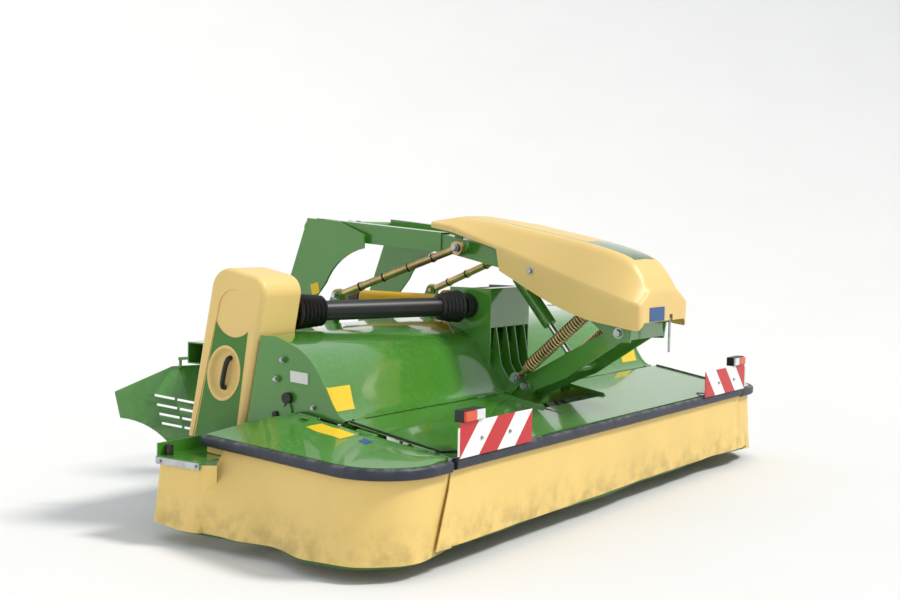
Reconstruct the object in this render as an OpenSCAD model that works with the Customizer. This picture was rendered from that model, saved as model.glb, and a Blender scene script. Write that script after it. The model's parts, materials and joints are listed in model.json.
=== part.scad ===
// Front mounted disc mower conditioner, standing on its skids and parking legs.
// Millimetres. +Z is up, -Y is the direction of travel, -X is the side of the drive tower.
// Lengths along Y are written from the front edge of the front guard and then shifted by y_mid.

/* [Overall] */
// Distance from the front guard's edge back to the middle of the whole machine
y_mid = 906; // [880:1:930]
// Thickness of the guard and hood sheets
sheet_t = 5; // [3:0.5:8]

/* [Cutterbar] */
// Distance between two cutting discs
disc_pitch = 440; // [420:5:470]
// Number of cutting discs
disc_count = 7; // [5:2:9]
// Length of the cutterbar beyond the last disc's axis
bar_end = 200; // [190:5:220]
// Distance of the disc axes behind the front edge
disc_y = 400; // [370:5:430]
// Front to back width of the cutterbar trough
bar_depth = 270; // [240:5:290]
// Underside of the cutterbar trough above the ground
bar_bottom = 40; // [34:1:46]
// Height of the cutterbar trough
bar_height = 58; // [50:1:62]
// Radius of the circle that the blade tips run on
blade_tip_r = 255; // [240:5:260]
// Width of a blade
blade_width = 46; // [36:1:52]
// Thickness of a blade
blade_t = 4; // [3:0.5:5]
// Radius of a disc
disc_r = 180; // [165:5:185]
// Width of a disc across its two flats
disc_flats = 300; // [280:5:320]
// Height of the blades above the ground
blade_z = 112; // [110:1:118]
// Radius of the crop drums on the outer discs
drum_r = 105; // [90:5:115]
// Height of the crop drums
drum_height = 190; // [120:5:220]
// Thickness of the skid plates
skid_t = 10; // [8:1:12]
// Width of one skid
skid_width = 300; // [240:5:330]

/* [Conditioner] */
// Free space between the main tube and the tines
throat_gap = 195; // [170:5:220]
// Height of the tine rotor's axis
rotor_z = 470; // [460:5:490]
// Radius over the tine tips
tine_tip_r = 315; // [290:5:320]
// Radius of the rotor tube
rotor_tube_r = 95; // [80:5:110]
// Number of tine rows round the rotor
tine_rows = 6; // [4:1:8]
// Number of tines in a row
tines_in_row = 11; // [8:1:14]
// Thickness of a tine
tine_t = 11; // [8:1:14]
// Space between a hood end and the plate that carries the rotor
side_bay = 300; // [290:5:320]
// Thickness of the rotor's end plates
end_plate_t = 12; // [8:1:16]

/* [Hood and frame] */
// Free space between the tines and the hood's flat top
hood_gap = 80; // [75:5:100]
// Distance that the hood ends stay inside the cutterbar's ends
hood_inset = 40; // [30:1:50]
// Side of the main tube's square section
tube_w = 90; // [80:5:100]
// Wall of the main tube and of the rear beam
tube_wall = 8; // [6:1:10]
// Distance of the main tube behind the front edge
tube_y = 580; // [570:5:590]
// Height of the main tube's underside
tube_z = 436; // [428:1:442]
// Distance of the rear beam behind the front edge
beam_y = 1455; // [1450:5:1475]
// Height of the rear beam's underside
beam_z = 700; // [695:5:715]
// Side of the rear beam's square section
beam_w = 100; // [90:5:110]

/* [Front guard] */
// Height of the front guard's edge
guard_front_z = 448; // [438:1:458]
// Height of the hinge at the back of the front guard
guard_hinge_z = 540; // [532:1:546]
// Distance of that hinge behind the front edge
guard_hinge_y = 552; // [546:1:556]
// Half width of the gap in the guard for the linkage
slot_half = 310; // [300:5:340]
// Distance from the front edge back to that gap
slot_y = 280; // [260:5:300]
// Height of the rubber edge
trim_h = 48; // [38:1:54]
// Depth of the rubber edge
trim_t = 34; // [26:1:38]
// Clearance between neighbouring guards
guard_gap = 10; // [7:1:12]

/* [Side guards] */
// Space between the hood's end and the fold line of a side guard
fold_gap = 30; // [26:1:36]
// Reach of a side guard outside its fold line
guard_reach = 385; // [360:5:400]
// Radius of the front corner of a side guard
corner_r = 260; // [230:5:290]
// Angle by which a side guard narrows to the back
side_taper = 13; // [10:0.5:14]
// Distance of the side guard's rear corner behind the front edge
side_rear_y = 1190; // [1150:5:1200]
// Rise of the fold line from the front edge to its rear end
fold_rise = 100; // [90:1:110]
// Distance of the fold line's rear end behind the front edge
fold_end_y = 820; // [780:5:840]
// Distance of the fold line's front end behind the front edge
fold_start_y = 22; // [18:1:26]
// Camber of a side guard's sheet
camber = 7; // [4:0.5:12]
// Radius of the hinge eyes
hinge_r = 7; // [6:0.5:9]
// Length of a hinge eye
eye_w = 34; // [26:1:40]

/* [Curtains] */
// Thickness of the curtain cloth
curtain_t = 5; // [4:1:7]
// Height of the front curtain's hem above the ground
front_hem_z = 88; // [60:2:120]
// Height of the side curtains' hem above the ground
side_hem_z = 60; // [50:2:90]
// Distance behind the front edge at which the folding curtain ends and the fixed one starts
curtain_split = 1034; // [1020:1:1045]
// Gap between those two curtains
split_gap = 12; // [8:1:16]

/* [Drive tower] */
// Width of the drive tower
tower_w = 265; // [250:5:275]
// Distance that the tower stands outside the hood's end
tower_proud = 8; // [4:1:12]
// Wall of the tower cover
tower_wall = 6; // [4:1:8]
// Height of the tower's top
tower_top = 1153; // [1140:1:1165]
// Height of the tower's foot
tower_foot = 385; // [375:5:395]
// Rounding of the tower's upright edges
tower_edge = 24; // [18:1:30]
// Half width of the handle dish
dish_r = 88; // [80:1:92]
// Depth of the handle dish
dish_depth = 30; // [24:1:36]

/* [Driveline] */
// Radius of the cross shaft's guard tube
guard_tube_r = 47; // [40:1:52]
// Radius of the bellows over the joints
bellows_r = 84; // [76:1:86]
// Distance of the main gearbox's shaft behind the front edge
gearbox_y = 800; // [790:5:810]
// Height of the cross shaft and of the power input
shaft_z = 953; // [948:1:960]
// Half width of the gearbox console
console_half = 190; // [180:5:200]
// Height of the console's top
console_top = 1046; // [1030:2:1060]
// Distance of the cross shaft's end at the tower behind the front edge
tower_shaft_y = 1120; // [1100:5:1140]
// Distance of the end of the power input shaft behind the front edge
input_end_y = 1720; // [1680:10:1740]
// Radius of the splined bore in the input yoke
input_bore_r = 17.5; // [16:0.1:18]

/* [Linkage] */
// Pivot of the lower links on the mower, distance behind the front edge
pivot_y = 460; // [455:1:465]
// Pivot of the lower links on the mower, height
pivot_z = 578; // [575:1:585]
// Pivot of the lower links on the lift arm, distance behind the front edge
arm_pivot_y = -45; // [-50:1:-40]
// Pivot of the lower links on the lift arm, height
arm_pivot_z = 867; // [860:1:875]
// Half of the distance between the two lower links
link_half = 165; // [158:1:172]
// Thickness of a lower link's plates
link_t = 16; // [12:1:20]
// Radius of the pivot pins
pin_r = 17; // [14:0.5:20]
// Running clearance of the pins
pin_fit = 0.05; // [0.02:0.01:0.08]
// Outer radius of the relief springs
spring_r = 33; // [30:1:35]
// Wire radius of the relief springs
wire_r = 5.5; // [4:0.5:6.5]
// Half of the distance between the relief springs
spring_half = 231; // [229:1:233]
// Radius of the plated tie struts
strut_r = 19; // [16:1:22]
// Radius of the lift cylinder's barrel
barrel_r = 36; // [32:1:40]
// Radius of the lift cylinder's rod
rod_r = 16; // [12:1:18]

/* [Lift arm and headstock] */
// Width of one arm beam
arm_beam_w = 80; // [70:5:90]
// Depth of one arm beam
arm_beam_h = 100; // [90:5:110]
// Half of the distance between the arm beams at the front
arm_front_half = 186; // [184:1:188]
// Half of the distance between the headstock plates
head_half = 385; // [375:5:395]
// Thickness of the headstock plates
head_t = 16; // [12:1:20]
// Height of the headstock's top
head_top = 1380; // [1370:5:1390]
// Radius of the lower hitch pins
hitch_pin_r = 14; // [11:0.5:18]
// Free length of the lower hitch pins
hitch_pin_l = 77; // [65:1:90]
// Height of the lower hitch pins
hitch_pin_z = 620; // [610:5:630]
// Distance of the lower hitch pins behind the front edge
hitch_pin_y = 1925; // [1910:5:1940]
// Radius of the top link's hole
top_link_r = 12.75; // [12:0.05:14]
// Height of the top link's hole
top_link_z = 1262; // [1250:1:1275]
// Wall of the arm cover
cover_t = 6; // [4:1:8]

/* [Swath boards and legs] */
// Distance of the swath board's pin from the hood's end
swath_inset = 240; // [220:5:260]
// Length of a swath board
board_length = 510; // [480:10:540]
// Angle at which the swath boards stand outwards
board_angle = 27; // [15:1:30]
// Thickness of a swath board
board_t = 5; // [4:0.5:8]
// Side of a parking leg's square tube
leg_w = 50; // [40:1:60]
// Length of a parking leg
leg_length = 720; // [690:10:750]
// Height of the sleeve that holds a parking leg
sleeve_z = 640; // [620:5:650]

/* [Warning boards] */
// Width of a warning board
sign_w = 564; // [423:1:564]
// Height of a warning board
sign_h = 141; // [120:1:150]
// Thickness of a warning board
sign_t = 4; // [2:0.5:6]

/* [Hidden] */
$fn = 48;
eps = 0.01;
seat = 0.3;
green = [0.27, 0.5, 0.16];
cream = [0.93, 0.8, 0.5];
black = [0.1, 0.1, 0.11];
zinc = [0.72, 0.7, 0.62];
steel = [0.45, 0.46, 0.48];
yellow = [0.93, 0.72, 0.1];

// Widths
bar_half = disc_pitch * (disc_count - 1) / 2 + bar_end;
hood_half = bar_half - hood_inset;
throat_half = hood_half - side_bay;
rotor_clear = 15;
rotor_length = 2 * (throat_half - rotor_clear);
fold_x = hood_half + fold_gap;
side_half = fold_x + guard_reach;
tower_x = hood_half + tower_proud;
rail_t = 12;
guard_half = fold_x - guard_gap;

// Lengths and heights
bar_top = bar_bottom + bar_height;
bar_front = disc_y - bar_depth / 2;
bar_back = disc_y + bar_depth / 2;
rotor_y = tube_y + tube_w + throat_gap + tine_tip_r;
rotor = [rotor_y, rotor_z];
tube_top = tube_z + tube_w;
tube_back = tube_y + tube_w;
hood_top = rotor_z + tine_tip_r + hood_gap;
hood_foot = [tube_y - 13, tube_top + 9];
hood_crease = [hood_foot[0] + 263, hood_top - 42];
beam_top = beam_z + beam_w;

// Cutterbar and discs
spindle_r = 24;
hub_r = 92;
hub_top = blade_z - 9;
cap_r = 62;
disc_dome = 40;

// Guards
edge_z = guard_front_z - 8;
fold_z0 = guard_front_z + 4;
fold_tilt = atan(fold_rise / (fold_end_y - fold_start_y));
edge_inset = trim_t * 0.8;
eye_pin_r = 4;
strap_drop = hinge_r - 3;
eye_places = [fold_start_y + 68, fold_start_y + 358, fold_start_y + 668];
guard_hinge = [guard_hinge_y, guard_hinge_z - 4];
guard_hinge_r = 8;
guard_pin_r = 4;
hinge_w = 60;
cable_r = 4;
hinge_places = [slot_half + 110, guard_half - 120];
sign_y = 14;
lamp_h = 48;
lamp_w = 150;

// Step plates
step_x = side_half - 57;
step_z = guard_front_z - 96;
step_t = 6;
step_depth = 256;
step_front = curtain_split + split_gap;
step_back = step_front + step_depth;
strip_h = 32;

// Linkage
pivot = [pivot_y, pivot_z];
arm_pivot = [arm_pivot_y, arm_pivot_z];
spring_foot = [pivot_y + 15, pivot_z + 43];
spring_head = [arm_pivot_y + 119, arm_pivot_z + 113];
spring_pin_r = 11;
spring_play = 4.8;
link_mid = [arm_pivot_y + 317, arm_pivot_z - 195];
ram_head = [arm_pivot_y + 690, arm_pivot_z + 264];
ram_foot = [arm_pivot_y + 352, arm_pivot_z - 146];
ram_rest = norm(ram_head - ram_foot);
ram_pin_r = 13;
strut_foot = [beam_y - 15, beam_top + 185];
strut_head = [arm_pivot_y + 825, arm_pivot_z + 379];
strut_foot_x = head_half + 45;
strut_head_x = arm_front_half + 140;
strut_pin_r = 12;
swath_x = hood_half - swath_inset;
swath_y = beam_y + beam_w / 2;
swath_pin_r = 16;
swath_low = beam_z - 260;
swath_high = beam_z - 10;

// Arm and headstock
low_pin = [hitch_pin_y, hitch_pin_z];
top_pin = [hitch_pin_y - 175, top_link_z];
top_ear_x = 28;
top_ear_t = 14;
beam_rear = [hitch_pin_y - 285, head_top - 50];
beam_bend = [arm_pivot_y + 965, arm_pivot_z + 403];
beam_front = [arm_pivot_y + 605, arm_pivot_z + 321];
nose_y = arm_pivot_y - 62;
lever_x = 72;
head_tube_r = 36;
head_tube = beam_rear + [head_tube_r + seat, 0];
sleeve_wall = 7;
sleeve_fit = 0.3;
sleeve_h = 150;
leg_x = head_half + 2 * seat + leg_w / 2 + sleeve_wall;
leg_y = hitch_pin_y - 93;
foot_w = 120;
foot_t = 8;

// Points of an arc, from angle a0 to a1
function arc(c, r, a0, a1, n) =
  [for (i = [0:n]) let (a = a0 + (a1 - a0) * i / n) [c[0] + r * cos(a), c[1] + r * sin(a)]];
// Points of a curve with four guide points
function curve(a, b, c, d, n) = [for (i = [0:n]) let (t = i / n, u = 1 - t)
  u * u * u * a + 3 * u * u * t * b + 3 * u * t * t * c + t * t * t * d];
function lerp(a, b, t) = a + (b - a) * t;
function reverse(v) = [for (i = [len(v) - 1:-1:0]) v[i]];
function sum(v, i = 0) = i >= len(v) ? 0 : v[i] + sum(v, i + 1);
// Length of a line of points up to point i
function walk(line, i) = i == 0 ? 0 : walk(line, i - 1) + norm(line[i] - line[i - 1]);
// The same line with its last stretch cut into n
function finer(line, n) = let (m = len(line))
  concat([for (i = [0:m - 2]) line[i]], [for (i = [1:n]) lerp(line[m - 2], line[m - 1], i / n)]);

// Middle and area vector of a ring of points
function middle(ring) = [for (k = [0:2]) sum([for (p = ring) p[k]]) / len(ring)];
function area_vector(ring) = let (c = middle(ring), n = len(ring),
    parts = [for (i = [0:n - 1]) cross(ring[i] - c, ring[(i + 1) % n] - c)])
  [for (k = [0:2]) sum([for (q = parts) q[k]])];

module place() translate([0, -y_mid, 0]) children();
module on_side(s) if (s < 0) mirror([1, 0, 0]) children(); else children();
module both_sides() for (s = [-1, 1]) on_side(s) children();
// Extrudes an outline drawn in Y and Z along X, from x0 over the width w
module across(x0, w) translate([x0, 0, 0]) rotate([90, 0, 90]) linear_extrude(w) children();
// A cylinder along X at a point given in Y and Z
module pin_x(p, r, x0, w) translate([x0, p[0], p[1]]) rotate([0, 90, 0]) cylinder(r = r, h = w);
// Turns a piece drawn along Z so that it runs from point a to point b in the Y and Z plane
module run_between(a, b, x = 0)
  translate([x, a[0], a[1]]) rotate([atan2(a[0] - b[0], b[1] - a[1]), 0, 0]) children();

// Closed skin over a grid of sections, each a closed ring of points, first and last capped
module loft(rings) {
  n = len(rings[0]);
  m = len(rings);
  ahead = area_vector(rings[0]) * (middle(rings[1]) - middle(rings[0])) > 0;
  ordered = [for (r = rings) ahead ? r : reverse(r)];
  points = [for (r = ordered) for (p = r) p];
  sides = [for (i = [0:m - 2]) for (j = [0:n - 1]) let (k = (j + 1) % n)
    each [[i * n + j, (i + 1) * n + j, i * n + k], [i * n + k, (i + 1) * n + j, (i + 1) * n + k]]];
  polyhedron(points, concat([[for (j = [0:n - 1]) j]], sides,
    [[for (j = [n - 1:-1:0]) (m - 1) * n + j]]), convexity = 6);
}

// Sheet of even thickness t below a grid of rows of points, cell by cell
module sheet(rows, t) for (i = [0:len(rows) - 2]) for (j = [0:len(rows[0]) - 2])
  hull() loft([for (row = [rows[i], rows[i + 1]])
    [row[j], row[j + 1], row[j + 1] - [0, 0, t], row[j] - [0, 0, t]]]);

function disc_x(i) = (i - (disc_count + 1) / 2) * disc_pitch;

// Cutterbar trough with its hub pads and spindles
module cutterbar() color(green) {
  nose = 34;
  lip = 16;
  across(-bar_half, 2 * bar_half)
    polygon([[bar_front, bar_bottom + lip], [bar_front + nose, bar_bottom],
      [bar_back - nose, bar_bottom], [bar_back, bar_bottom + lip],
      [bar_back, bar_top - lip], [bar_back - nose, bar_top],
      [bar_front + nose, bar_top], [bar_front, bar_top - lip]]);
  for (i = [1:disc_count]) translate([disc_x(i), disc_y, bar_top - eps])
    cylinder(r1 = hub_r, r2 = hub_r - 8, h = hub_top - bar_top + eps);
  for (i = [1:disc_count]) translate([disc_x(i), disc_y, bar_top])
    cylinder(r = spindle_r, h = blade_z + disc_dome + 4 - bar_top);
}

// Skid plates under the discs, each with two flanges up to the trough
module skids() color(steel) {
  front = bar_front - 42;
  rear = bar_back + 70;
  bend = front + 95;
  tip = bar_top - 24;
  for (i = [1:disc_count]) translate([disc_x(i), 0, 0]) {
    across(-skid_width / 2, skid_width)
      polygon([[front, tip], [front + 40, tip - 48], [bend, 0], [rear - 60, 0], [rear, 22],
        [rear - 3, 22 + skid_t], [rear - 62, skid_t], [bend + 3, skid_t],
        [front + 47, tip - 48 + skid_t], [front + 9, tip + 5]]);
    for (x = [-skid_width / 2 + 20, skid_width / 2 - 32])
      across(x, 12) polygon([[bend + 3, skid_t - eps], [bar_back - 40, skid_t - eps],
        [bar_back - 40, bar_bottom], [bar_front + 34, bar_bottom]]);
  }
}

// One disc with its two blades, their pins and, on the outer discs, a crop drum
module cutting_disc(i) {
  turn = (i % 2 == 0) ? 90 : 0;
  outer = (i == 1 || i == disc_count);
  rim = blade_z + blade_t;
  notch = 9;
  place() translate([disc_x(i), disc_y, 0]) rotate([0, 0, turn]) {
    color(steel) difference() {
      union() {
        intersection() {
          translate([0, 0, rim]) rotate_extrude()
            polygon([[0, 0], [disc_r, 0], [disc_r, 5], [disc_r - 30, 14], [cap_r + 30, 24],
              [cap_r, disc_dome], [0, disc_dome]]);
          translate([-disc_r, -disc_flats / 2, blade_z]) cube([2 * disc_r, disc_flats, 2 * disc_dome]);
        }
        translate([0, 0, blade_z + disc_dome]) cylinder(r = cap_r, h = 16);
        if (outer) translate([0, 0, blade_z + 30])
          cylinder(r1 = drum_r, r2 = drum_r - 16, h = drum_height);
      }
      translate([0, 0, blade_z - 20]) cylinder(r = spindle_r + pin_fit, h = disc_dome + 25);
    }
    color(zinc) for (s = [0, 180]) rotate([0, 0, s]) difference() {
      translate([disc_r - 46, -blade_width / 2, blade_z])
        cube([blade_tip_r - disc_r + 46, blade_width, blade_t]);
      translate([blade_tip_r, blade_width / 2, blade_z - 1]) rotate([0, 0, 45])
        translate([-notch, -notch, 0]) cube([2 * notch, 2 * notch, blade_t + 2]);
    }
    color(steel) for (s = [-1, 1]) translate([s * (disc_r - 24), 0, blade_z - 7])
      cylinder(r = 13, h = 7);
  }
}

// Plate that reaches from the main tube's front to an ear round a point
module tube_ear(p, r, w) hull() {
  translate(p) circle(r = r);
  translate([tube_y - 1, tube_top - w]) square([2, w - 20]);
}

// Main tube with the lugs of the lower links, the relief springs and the front guard
module main_frame() color(green) {
  lug_t = 14;
  x_in = link_half - link_t / 2 - seat - lug_t;
  x_out = link_half + link_t / 2 + seat;
  difference() {
    union() {
      difference() {
        across(-hood_half, 2 * hood_half) translate([tube_y, tube_z]) square(tube_w);
        across(-hood_half - 1, 2 * hood_half + 2)
          translate([tube_y + tube_wall, tube_z + tube_wall]) square(tube_w - 2 * tube_wall);
      }
      both_sides() {
        for (x = [x_in, x_out]) across(x, lug_t) tube_ear(pivot, pin_r + 21, tube_w - 20);
        across(spring_half - 40, lug_t) tube_ear(spring_foot, spring_pin_r + 13, tube_w - 30);
      }
    }
    both_sides() pin_x(pivot, pin_r + pin_fit, x_in - 1, x_out - x_in + lug_t + 2);
  }
  both_sides() {
    pin_x(spring_foot, spring_pin_r, spring_half - 27, 54);
    for (x = hinge_places) {
      for (w = [-6 - seat, hinge_w + seat]) across(x + w, 6) hull() {
        translate(guard_hinge) circle(r = guard_hinge_r + 1);
        translate([tube_y - eps, tube_top - 50]) square([1, 20]);
      }
      pin_x(guard_hinge, guard_pin_r, x - 3, hinge_w + 6);
    }
  }
}

// Inner plates that carry the rotor, with their feet on the cutterbar
module end_plates() color(green) {
  foot = bar_top - 4;
  x0 = throat_half + seat;
  back = beam_y - seat;
  front = tube_back + seat;
  bearing_r = 40;
  difference() {
    both_sides() {
      across(x0, end_plate_t) polygon([[bar_back, bar_bottom + 20], [rotor_y, bar_bottom + 50],
        [rotor_y + tine_tip_r, rotor_z - 150], [beam_y + beam_w, rotor_z + 10],
        [beam_y + beam_w, beam_z - seat], [back, beam_z - seat], [back, beam_top - 12],
        [back - 90, hood_top - 50], [front + 220, hood_top - 50], [front, tube_top + 90],
        [front, tube_z - 60], [front + 20, foot], [bar_back, foot]]);
      pin_x(rotor, bearing_r + 45, x0 + end_plate_t - eps, 30);
    }
    pin_x(rotor, bearing_r, -throat_half - 60, 2 * throat_half + 120);
  }
}

// Outline of the hood, from the front foot over the top to the back, moved inwards by d
function hood_line(d) = let (in = [0.8, -0.8] * d, f = hood_foot, c = hood_crease)
  concat(curve(f + in, f + [98, 25] + in, c + [-158, -80] + in, c + in, 9),
    [[c[0] + 120, hood_top - d], [beam_y - 190, hood_top - d],
     [beam_y - 60, hood_top - 24 - d], [beam_y - seat, hood_top - 64 - d]]);

// Curved hood over the rotor with its outer end plates and their brackets
module hood() color(green) {
  end_t = 6;
  rim = 24;
  bush = [hood_foot[0] + 333, hood_foot[1] + 45];
  bosses = [[bush[0] + 5, bush[1] + 190], [bush[0] + 40, bush[1] + 105]];
  bay = tower_w + 14;
  difference() {
    union() {
      across(-hood_half, 2 * hood_half)
        polygon(concat(hood_line(0), reverse(hood_line(sheet_t))));
      both_sides() across(hood_half - end_t, end_t) polygon(concat(hood_line(1),
        [[beam_y - seat, rotor_z + 60], [rotor_y, tube_z + 60], [rotor_y - 200, tube_z],
         [tube_back + seat, tube_z]]));
      both_sides() across(hood_half - rim, rim)
        polygon(concat(hood_line(-2), reverse(hood_line(sheet_t + 2))));
      both_sides() for (p = bosses) pin_x(p, 15, hood_half - end_t, 20);
      both_sides() {
        across(hood_half - eps, 10) hull() {
          translate(bush) circle(r = 34);
          translate(bush + [-45, -50]) square([70, 30]);
        }
        pin_x(bush + [2, 8], 20, hood_half, 20);
      }
    }
    across(-tower_x - 50, 50 + bay) {
      polygon(tower_line(-10));
      translate([rotor_y + 60, tube_z - 150]) square([600, 800]);
    }
    across(-hood_half - 40, 2 * hood_half + 80)
      translate([tube_y - 100, tube_z - 1]) square([tube_w + 100 + seat, tube_w + 1 + seat]);
  }
}

// Beam behind the rotor that carries the swath boards, with the feet of the tie struts
module rear_beam() color(green) {
  ear_t = 12;
  half = hood_half - 80;
  difference() {
    across(-half, 2 * half) translate([beam_y, beam_z]) square(beam_w);
    across(-half - 1, 2 * half + 2)
      translate([beam_y + 6, beam_z + 6]) square(beam_w - 12);
  }
  both_sides() for (x = [-14 - seat - ear_t, 14 + seat]) difference() {
    across(strut_foot_x + x, ear_t) hull() {
      translate(strut_foot) circle(r = 26);
      translate([beam_y + 12, beam_top - 2]) square([beam_w - 24, 2]);
    }
    pin_x(strut_foot, strut_pin_r + pin_fit, strut_foot_x + x - 1, ear_t + 2);
  }
  both_sides() translate([swath_x, swath_y, swath_low - 18]) {
    cylinder(r = swath_pin_r, h = beam_z - swath_low + 18 + eps);
    cylinder(r = swath_pin_r + 8, h = 16);
  }
}

// Upright console of plates round the main gearbox, with ribs down to the main tube
module gearbox_console() color(green) {
  skin = hood_line(-seat);
  front = skin[4][0];
  back = gearbox_y + 110;
  wall = 8;
  sill = hood_crease[1] + 25;
  rib = [-36, 26];
  rest = lerp(skin[9], skin[10], (back - skin[9][0]) / (skin[10][0] - skin[9][0]));
  difference() {
    union() {
      for (x = [-console_half, console_half - wall]) across(x, wall)
        polygon(concat([[front, console_top], [back, console_top], rest],
          [for (i = [9:-1:4]) skin[i]]));
      translate([-console_half, front, sill])
        cube([2 * console_half, wall, console_top - sill]);
      translate([-console_half, front, console_top - wall]) cube([2 * console_half, 60, wall]);
      for (x = [-0.82, -0.25, 0.25, 0.82] * link_half) across(x - wall / 2, wall)
        polygon(concat([[front + wall - 1, sill + 40]], [for (i = [5:-1:0]) skin[i]],
          [[tube_y - seat, tube_top - 30], [tube_y - 24, tube_top - 24]],
          [for (i = [0:4]) skin[i] + rib], [[front + 1, sill + 20]]));
    }
    translate([-console_half - 1, gearbox_y, shaft_z]) rotate([0, 90, 0])
      cylinder(r = 62, h = 2 * console_half + 2);
  }
}

// Main gearbox as one closed block with its hubs and the stub that drives it
module main_gearbox() color(steel) {
  half = console_half - 8 - seat;
  translate([-half, gearbox_y - 100, shaft_z - 85]) cube([2 * half, 199, 167]);
  pin_x([gearbox_y, shaft_z], 60, -half - 8, 20);
  translate([0, gearbox_y + 99, shaft_z]) rotate([-90, 0, 0]) cylinder(r = 52, h = 24);
  translate([0, gearbox_y + 99, shaft_z]) rotate([-90, 0, 0]) cylinder(r = 20, h = 70);
}

// Drive housing in the foot of the tower, down to the end of the cutterbar
module side_gearbox() color(green) {
  x0 = -tower_x + 40;
  w = tower_w - 60;
  y0 = rotor_y + 14;
  depth = 190;
  back = y0 + depth;
  translate([x0, y0, 160]) cube([w, depth, 330]);
  translate([x0, bar_back + seat, bar_bottom + 6]) cube([w, back - bar_back - seat, 50]);
  translate([x0, y0, bar_bottom + 20]) cube([w, depth, 200]);
  pin_x(rotor, 60, x0 + w - eps, -throat_half - end_plate_t - 30 - 2 * seat - x0 - w);
}

// Outline of the tower seen from the side, drawn in Y and Z
function tower_line(d) = [[rotor_y - 37 + d, tower_foot], [rotor_y + 294 - d, tower_foot],
    each arc([rotor_y + 56, tower_top - 100], 100 - d, 12, 95, 8),
    each arc([rotor_y - 82, tower_top - 107], 82 - d, 103, 191, 8)];

module tower_body(inset, edge) {
  x0 = -tower_x + inset;
  w = tower_w - 2 * inset;
  hull() {
    across(x0 + edge, w - 2 * edge) polygon(tower_line(inset));
    across(x0, w) polygon(tower_line(inset + edge));
  }
}

// Outline of the sunk panel in the tower's face, with a round top
module panel_form(depth) across(-tower_x - 1, depth + 1)
  polygon(concat([[rotor_y - 15, tower_foot - 1], [rotor_y + 258, tower_foot - 1]],
    arc([rotor_y + 6, tower_top - 188], 98, 8, 176, 14)));

dish = [rotor_y + 70, tower_foot + 300];
dish_lean = 14;
dish_reach = 30;

// Oval form of the handle dish, from the tower's face inwards
module dish_form(r, depth) translate([-tower_x - 1, dish[0], dish[1]]) rotate([dish_lean, 0, 0])
  hull() for (z = [-dish_reach, dish_reach]) translate([0, 0, z]) rotate([0, 90, 0])
    cylinder(r1 = r, r2 = r - 14, h = depth + 1, $fn = 32);

// Hollow cover of the drive tower, open below, with an arched panel and the handle's dish
module drive_tower() color(cream) difference() {
  union() {
    difference() {
      tower_body(0, tower_edge);
      intersection() {
        tower_body(tower_wall, tower_edge - tower_wall);
        translate([-2 * tower_x, 0, tower_foot - 1]) cube(2 * tower_x);
      }
      translate([-tower_x + tower_edge + 8, rotor_y - 30, tower_foot - 1])
        cube([tower_w - 2 * tower_edge - 16, 300, 60]);
    }
    intersection() {
      dish_form(dish_r + tower_wall, dish_depth + tower_wall);
      tower_body(0, tower_edge);
    }
  }
  dish_form(dish_r, dish_depth);
  panel_form(tower_wall / 2);
  translate([-tower_x + tower_w - 30, rotor_y - 100, tower_foot - 1])
    cube([40, 165, rotor_z + 62 - tower_foot]);
  translate([-tower_x + tower_w - 30, tower_shaft_y, shaft_z]) rotate([0, 90, 0])
    cylinder(r = 62, h = 40);
}

// Bow handle in the dish
module tower_handle() color(black)
  translate([-tower_x + dish_depth - seat, dish[0], dish[1]]) rotate([dish_lean, 0, 0]) {
    for (z = [-66, 66]) translate([-dish_depth - 2, 0, z]) rotate([0, 90, 0])
      cylinder(r = 9, h = dish_depth + 2);
    translate([-dish_depth - 2, 0, -76]) cylinder(r = 10, h = 152);
  }

// Rings of a bellows along Z: from height z, n folds of the given pitch, outer radius r0 to r1
module bellows(z, n, pitch, r0, r1) for (i = [0:n - 1]) let (r = lerp(r0, r1, i / (n - 1)))
  translate([0, 0, z + i * pitch]) rotate_extrude()
    polygon([[0, 0], [r - 14, 0], [r, pitch / 2], [r - 14, pitch], [0, pitch]]);

// Guard tube of the cross shaft with a bellows over each joint
module cross_shaft_guard() color(black) {
  a = [-tower_x + tower_w + seat, tower_shaft_y, shaft_z];
  b = [-console_half - 8 - seat, gearbox_y, shaft_z];
  span = norm(b - a);
  translate(a) rotate([0, 0, atan2(b[1] - a[1], b[0] - a[0])]) rotate([0, 90, 0]) {
    translate([0, 0, 30]) cylinder(r = guard_tube_r, h = span - 70);
    bellows(42, 7, 22, bellows_r, bellows_r - 12);
    bellows(span - 190, 6, 22, bellows_r - 18, bellows_r - 2);
  }
  pin_x([a[1], a[2]], 66, a[0], 50);
  pin_x([b[1], b[2]], 57, b[0] - 66, 66 + seat);
}

// Yellow guard tube of the power input shaft with its bellows
module input_guard() {
  y0 = gearbox_y + 123;
  folds = 8;
  tube_r = 38;
  bore = tube_r - 7;
  tube_start = y0 + 20 * folds - 10;
  tube_l = input_end_y - 110 - tube_start;
  color(yellow) translate([0, tube_start, shaft_z]) rotate([-90, 0, 0]) difference() {
    cylinder(r = tube_r, h = tube_l);
    translate([0, 0, -1]) cylinder(r = bore, h = tube_l + 2);
  }
  color(black) translate([0, y0 + seat, shaft_z]) rotate([-90, 0, 0]) difference() {
    bellows(0, folds, 20, 78, 62);
    translate([0, 0, -1]) cylinder(r = bore, h = 20 * folds + 2);
  }
}

// Turning input shaft with the splined yoke that the tractor's stub goes into
module input_shaft() color(steel) translate([0, 0, shaft_z]) rotate([-90, 0, 0]) difference() {
  yoke = 100;
  start = gearbox_y + 169 + seat;
  union() {
    translate([0, 0, start]) cylinder(r = 24, h = input_end_y - yoke - start + eps);
    translate([0, 0, input_end_y - yoke]) cylinder(r = 36, h = yoke);
  }
  translate([0, 0, input_end_y - yoke + 10]) cylinder(r = input_bore_r, h = yoke);
}

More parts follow.
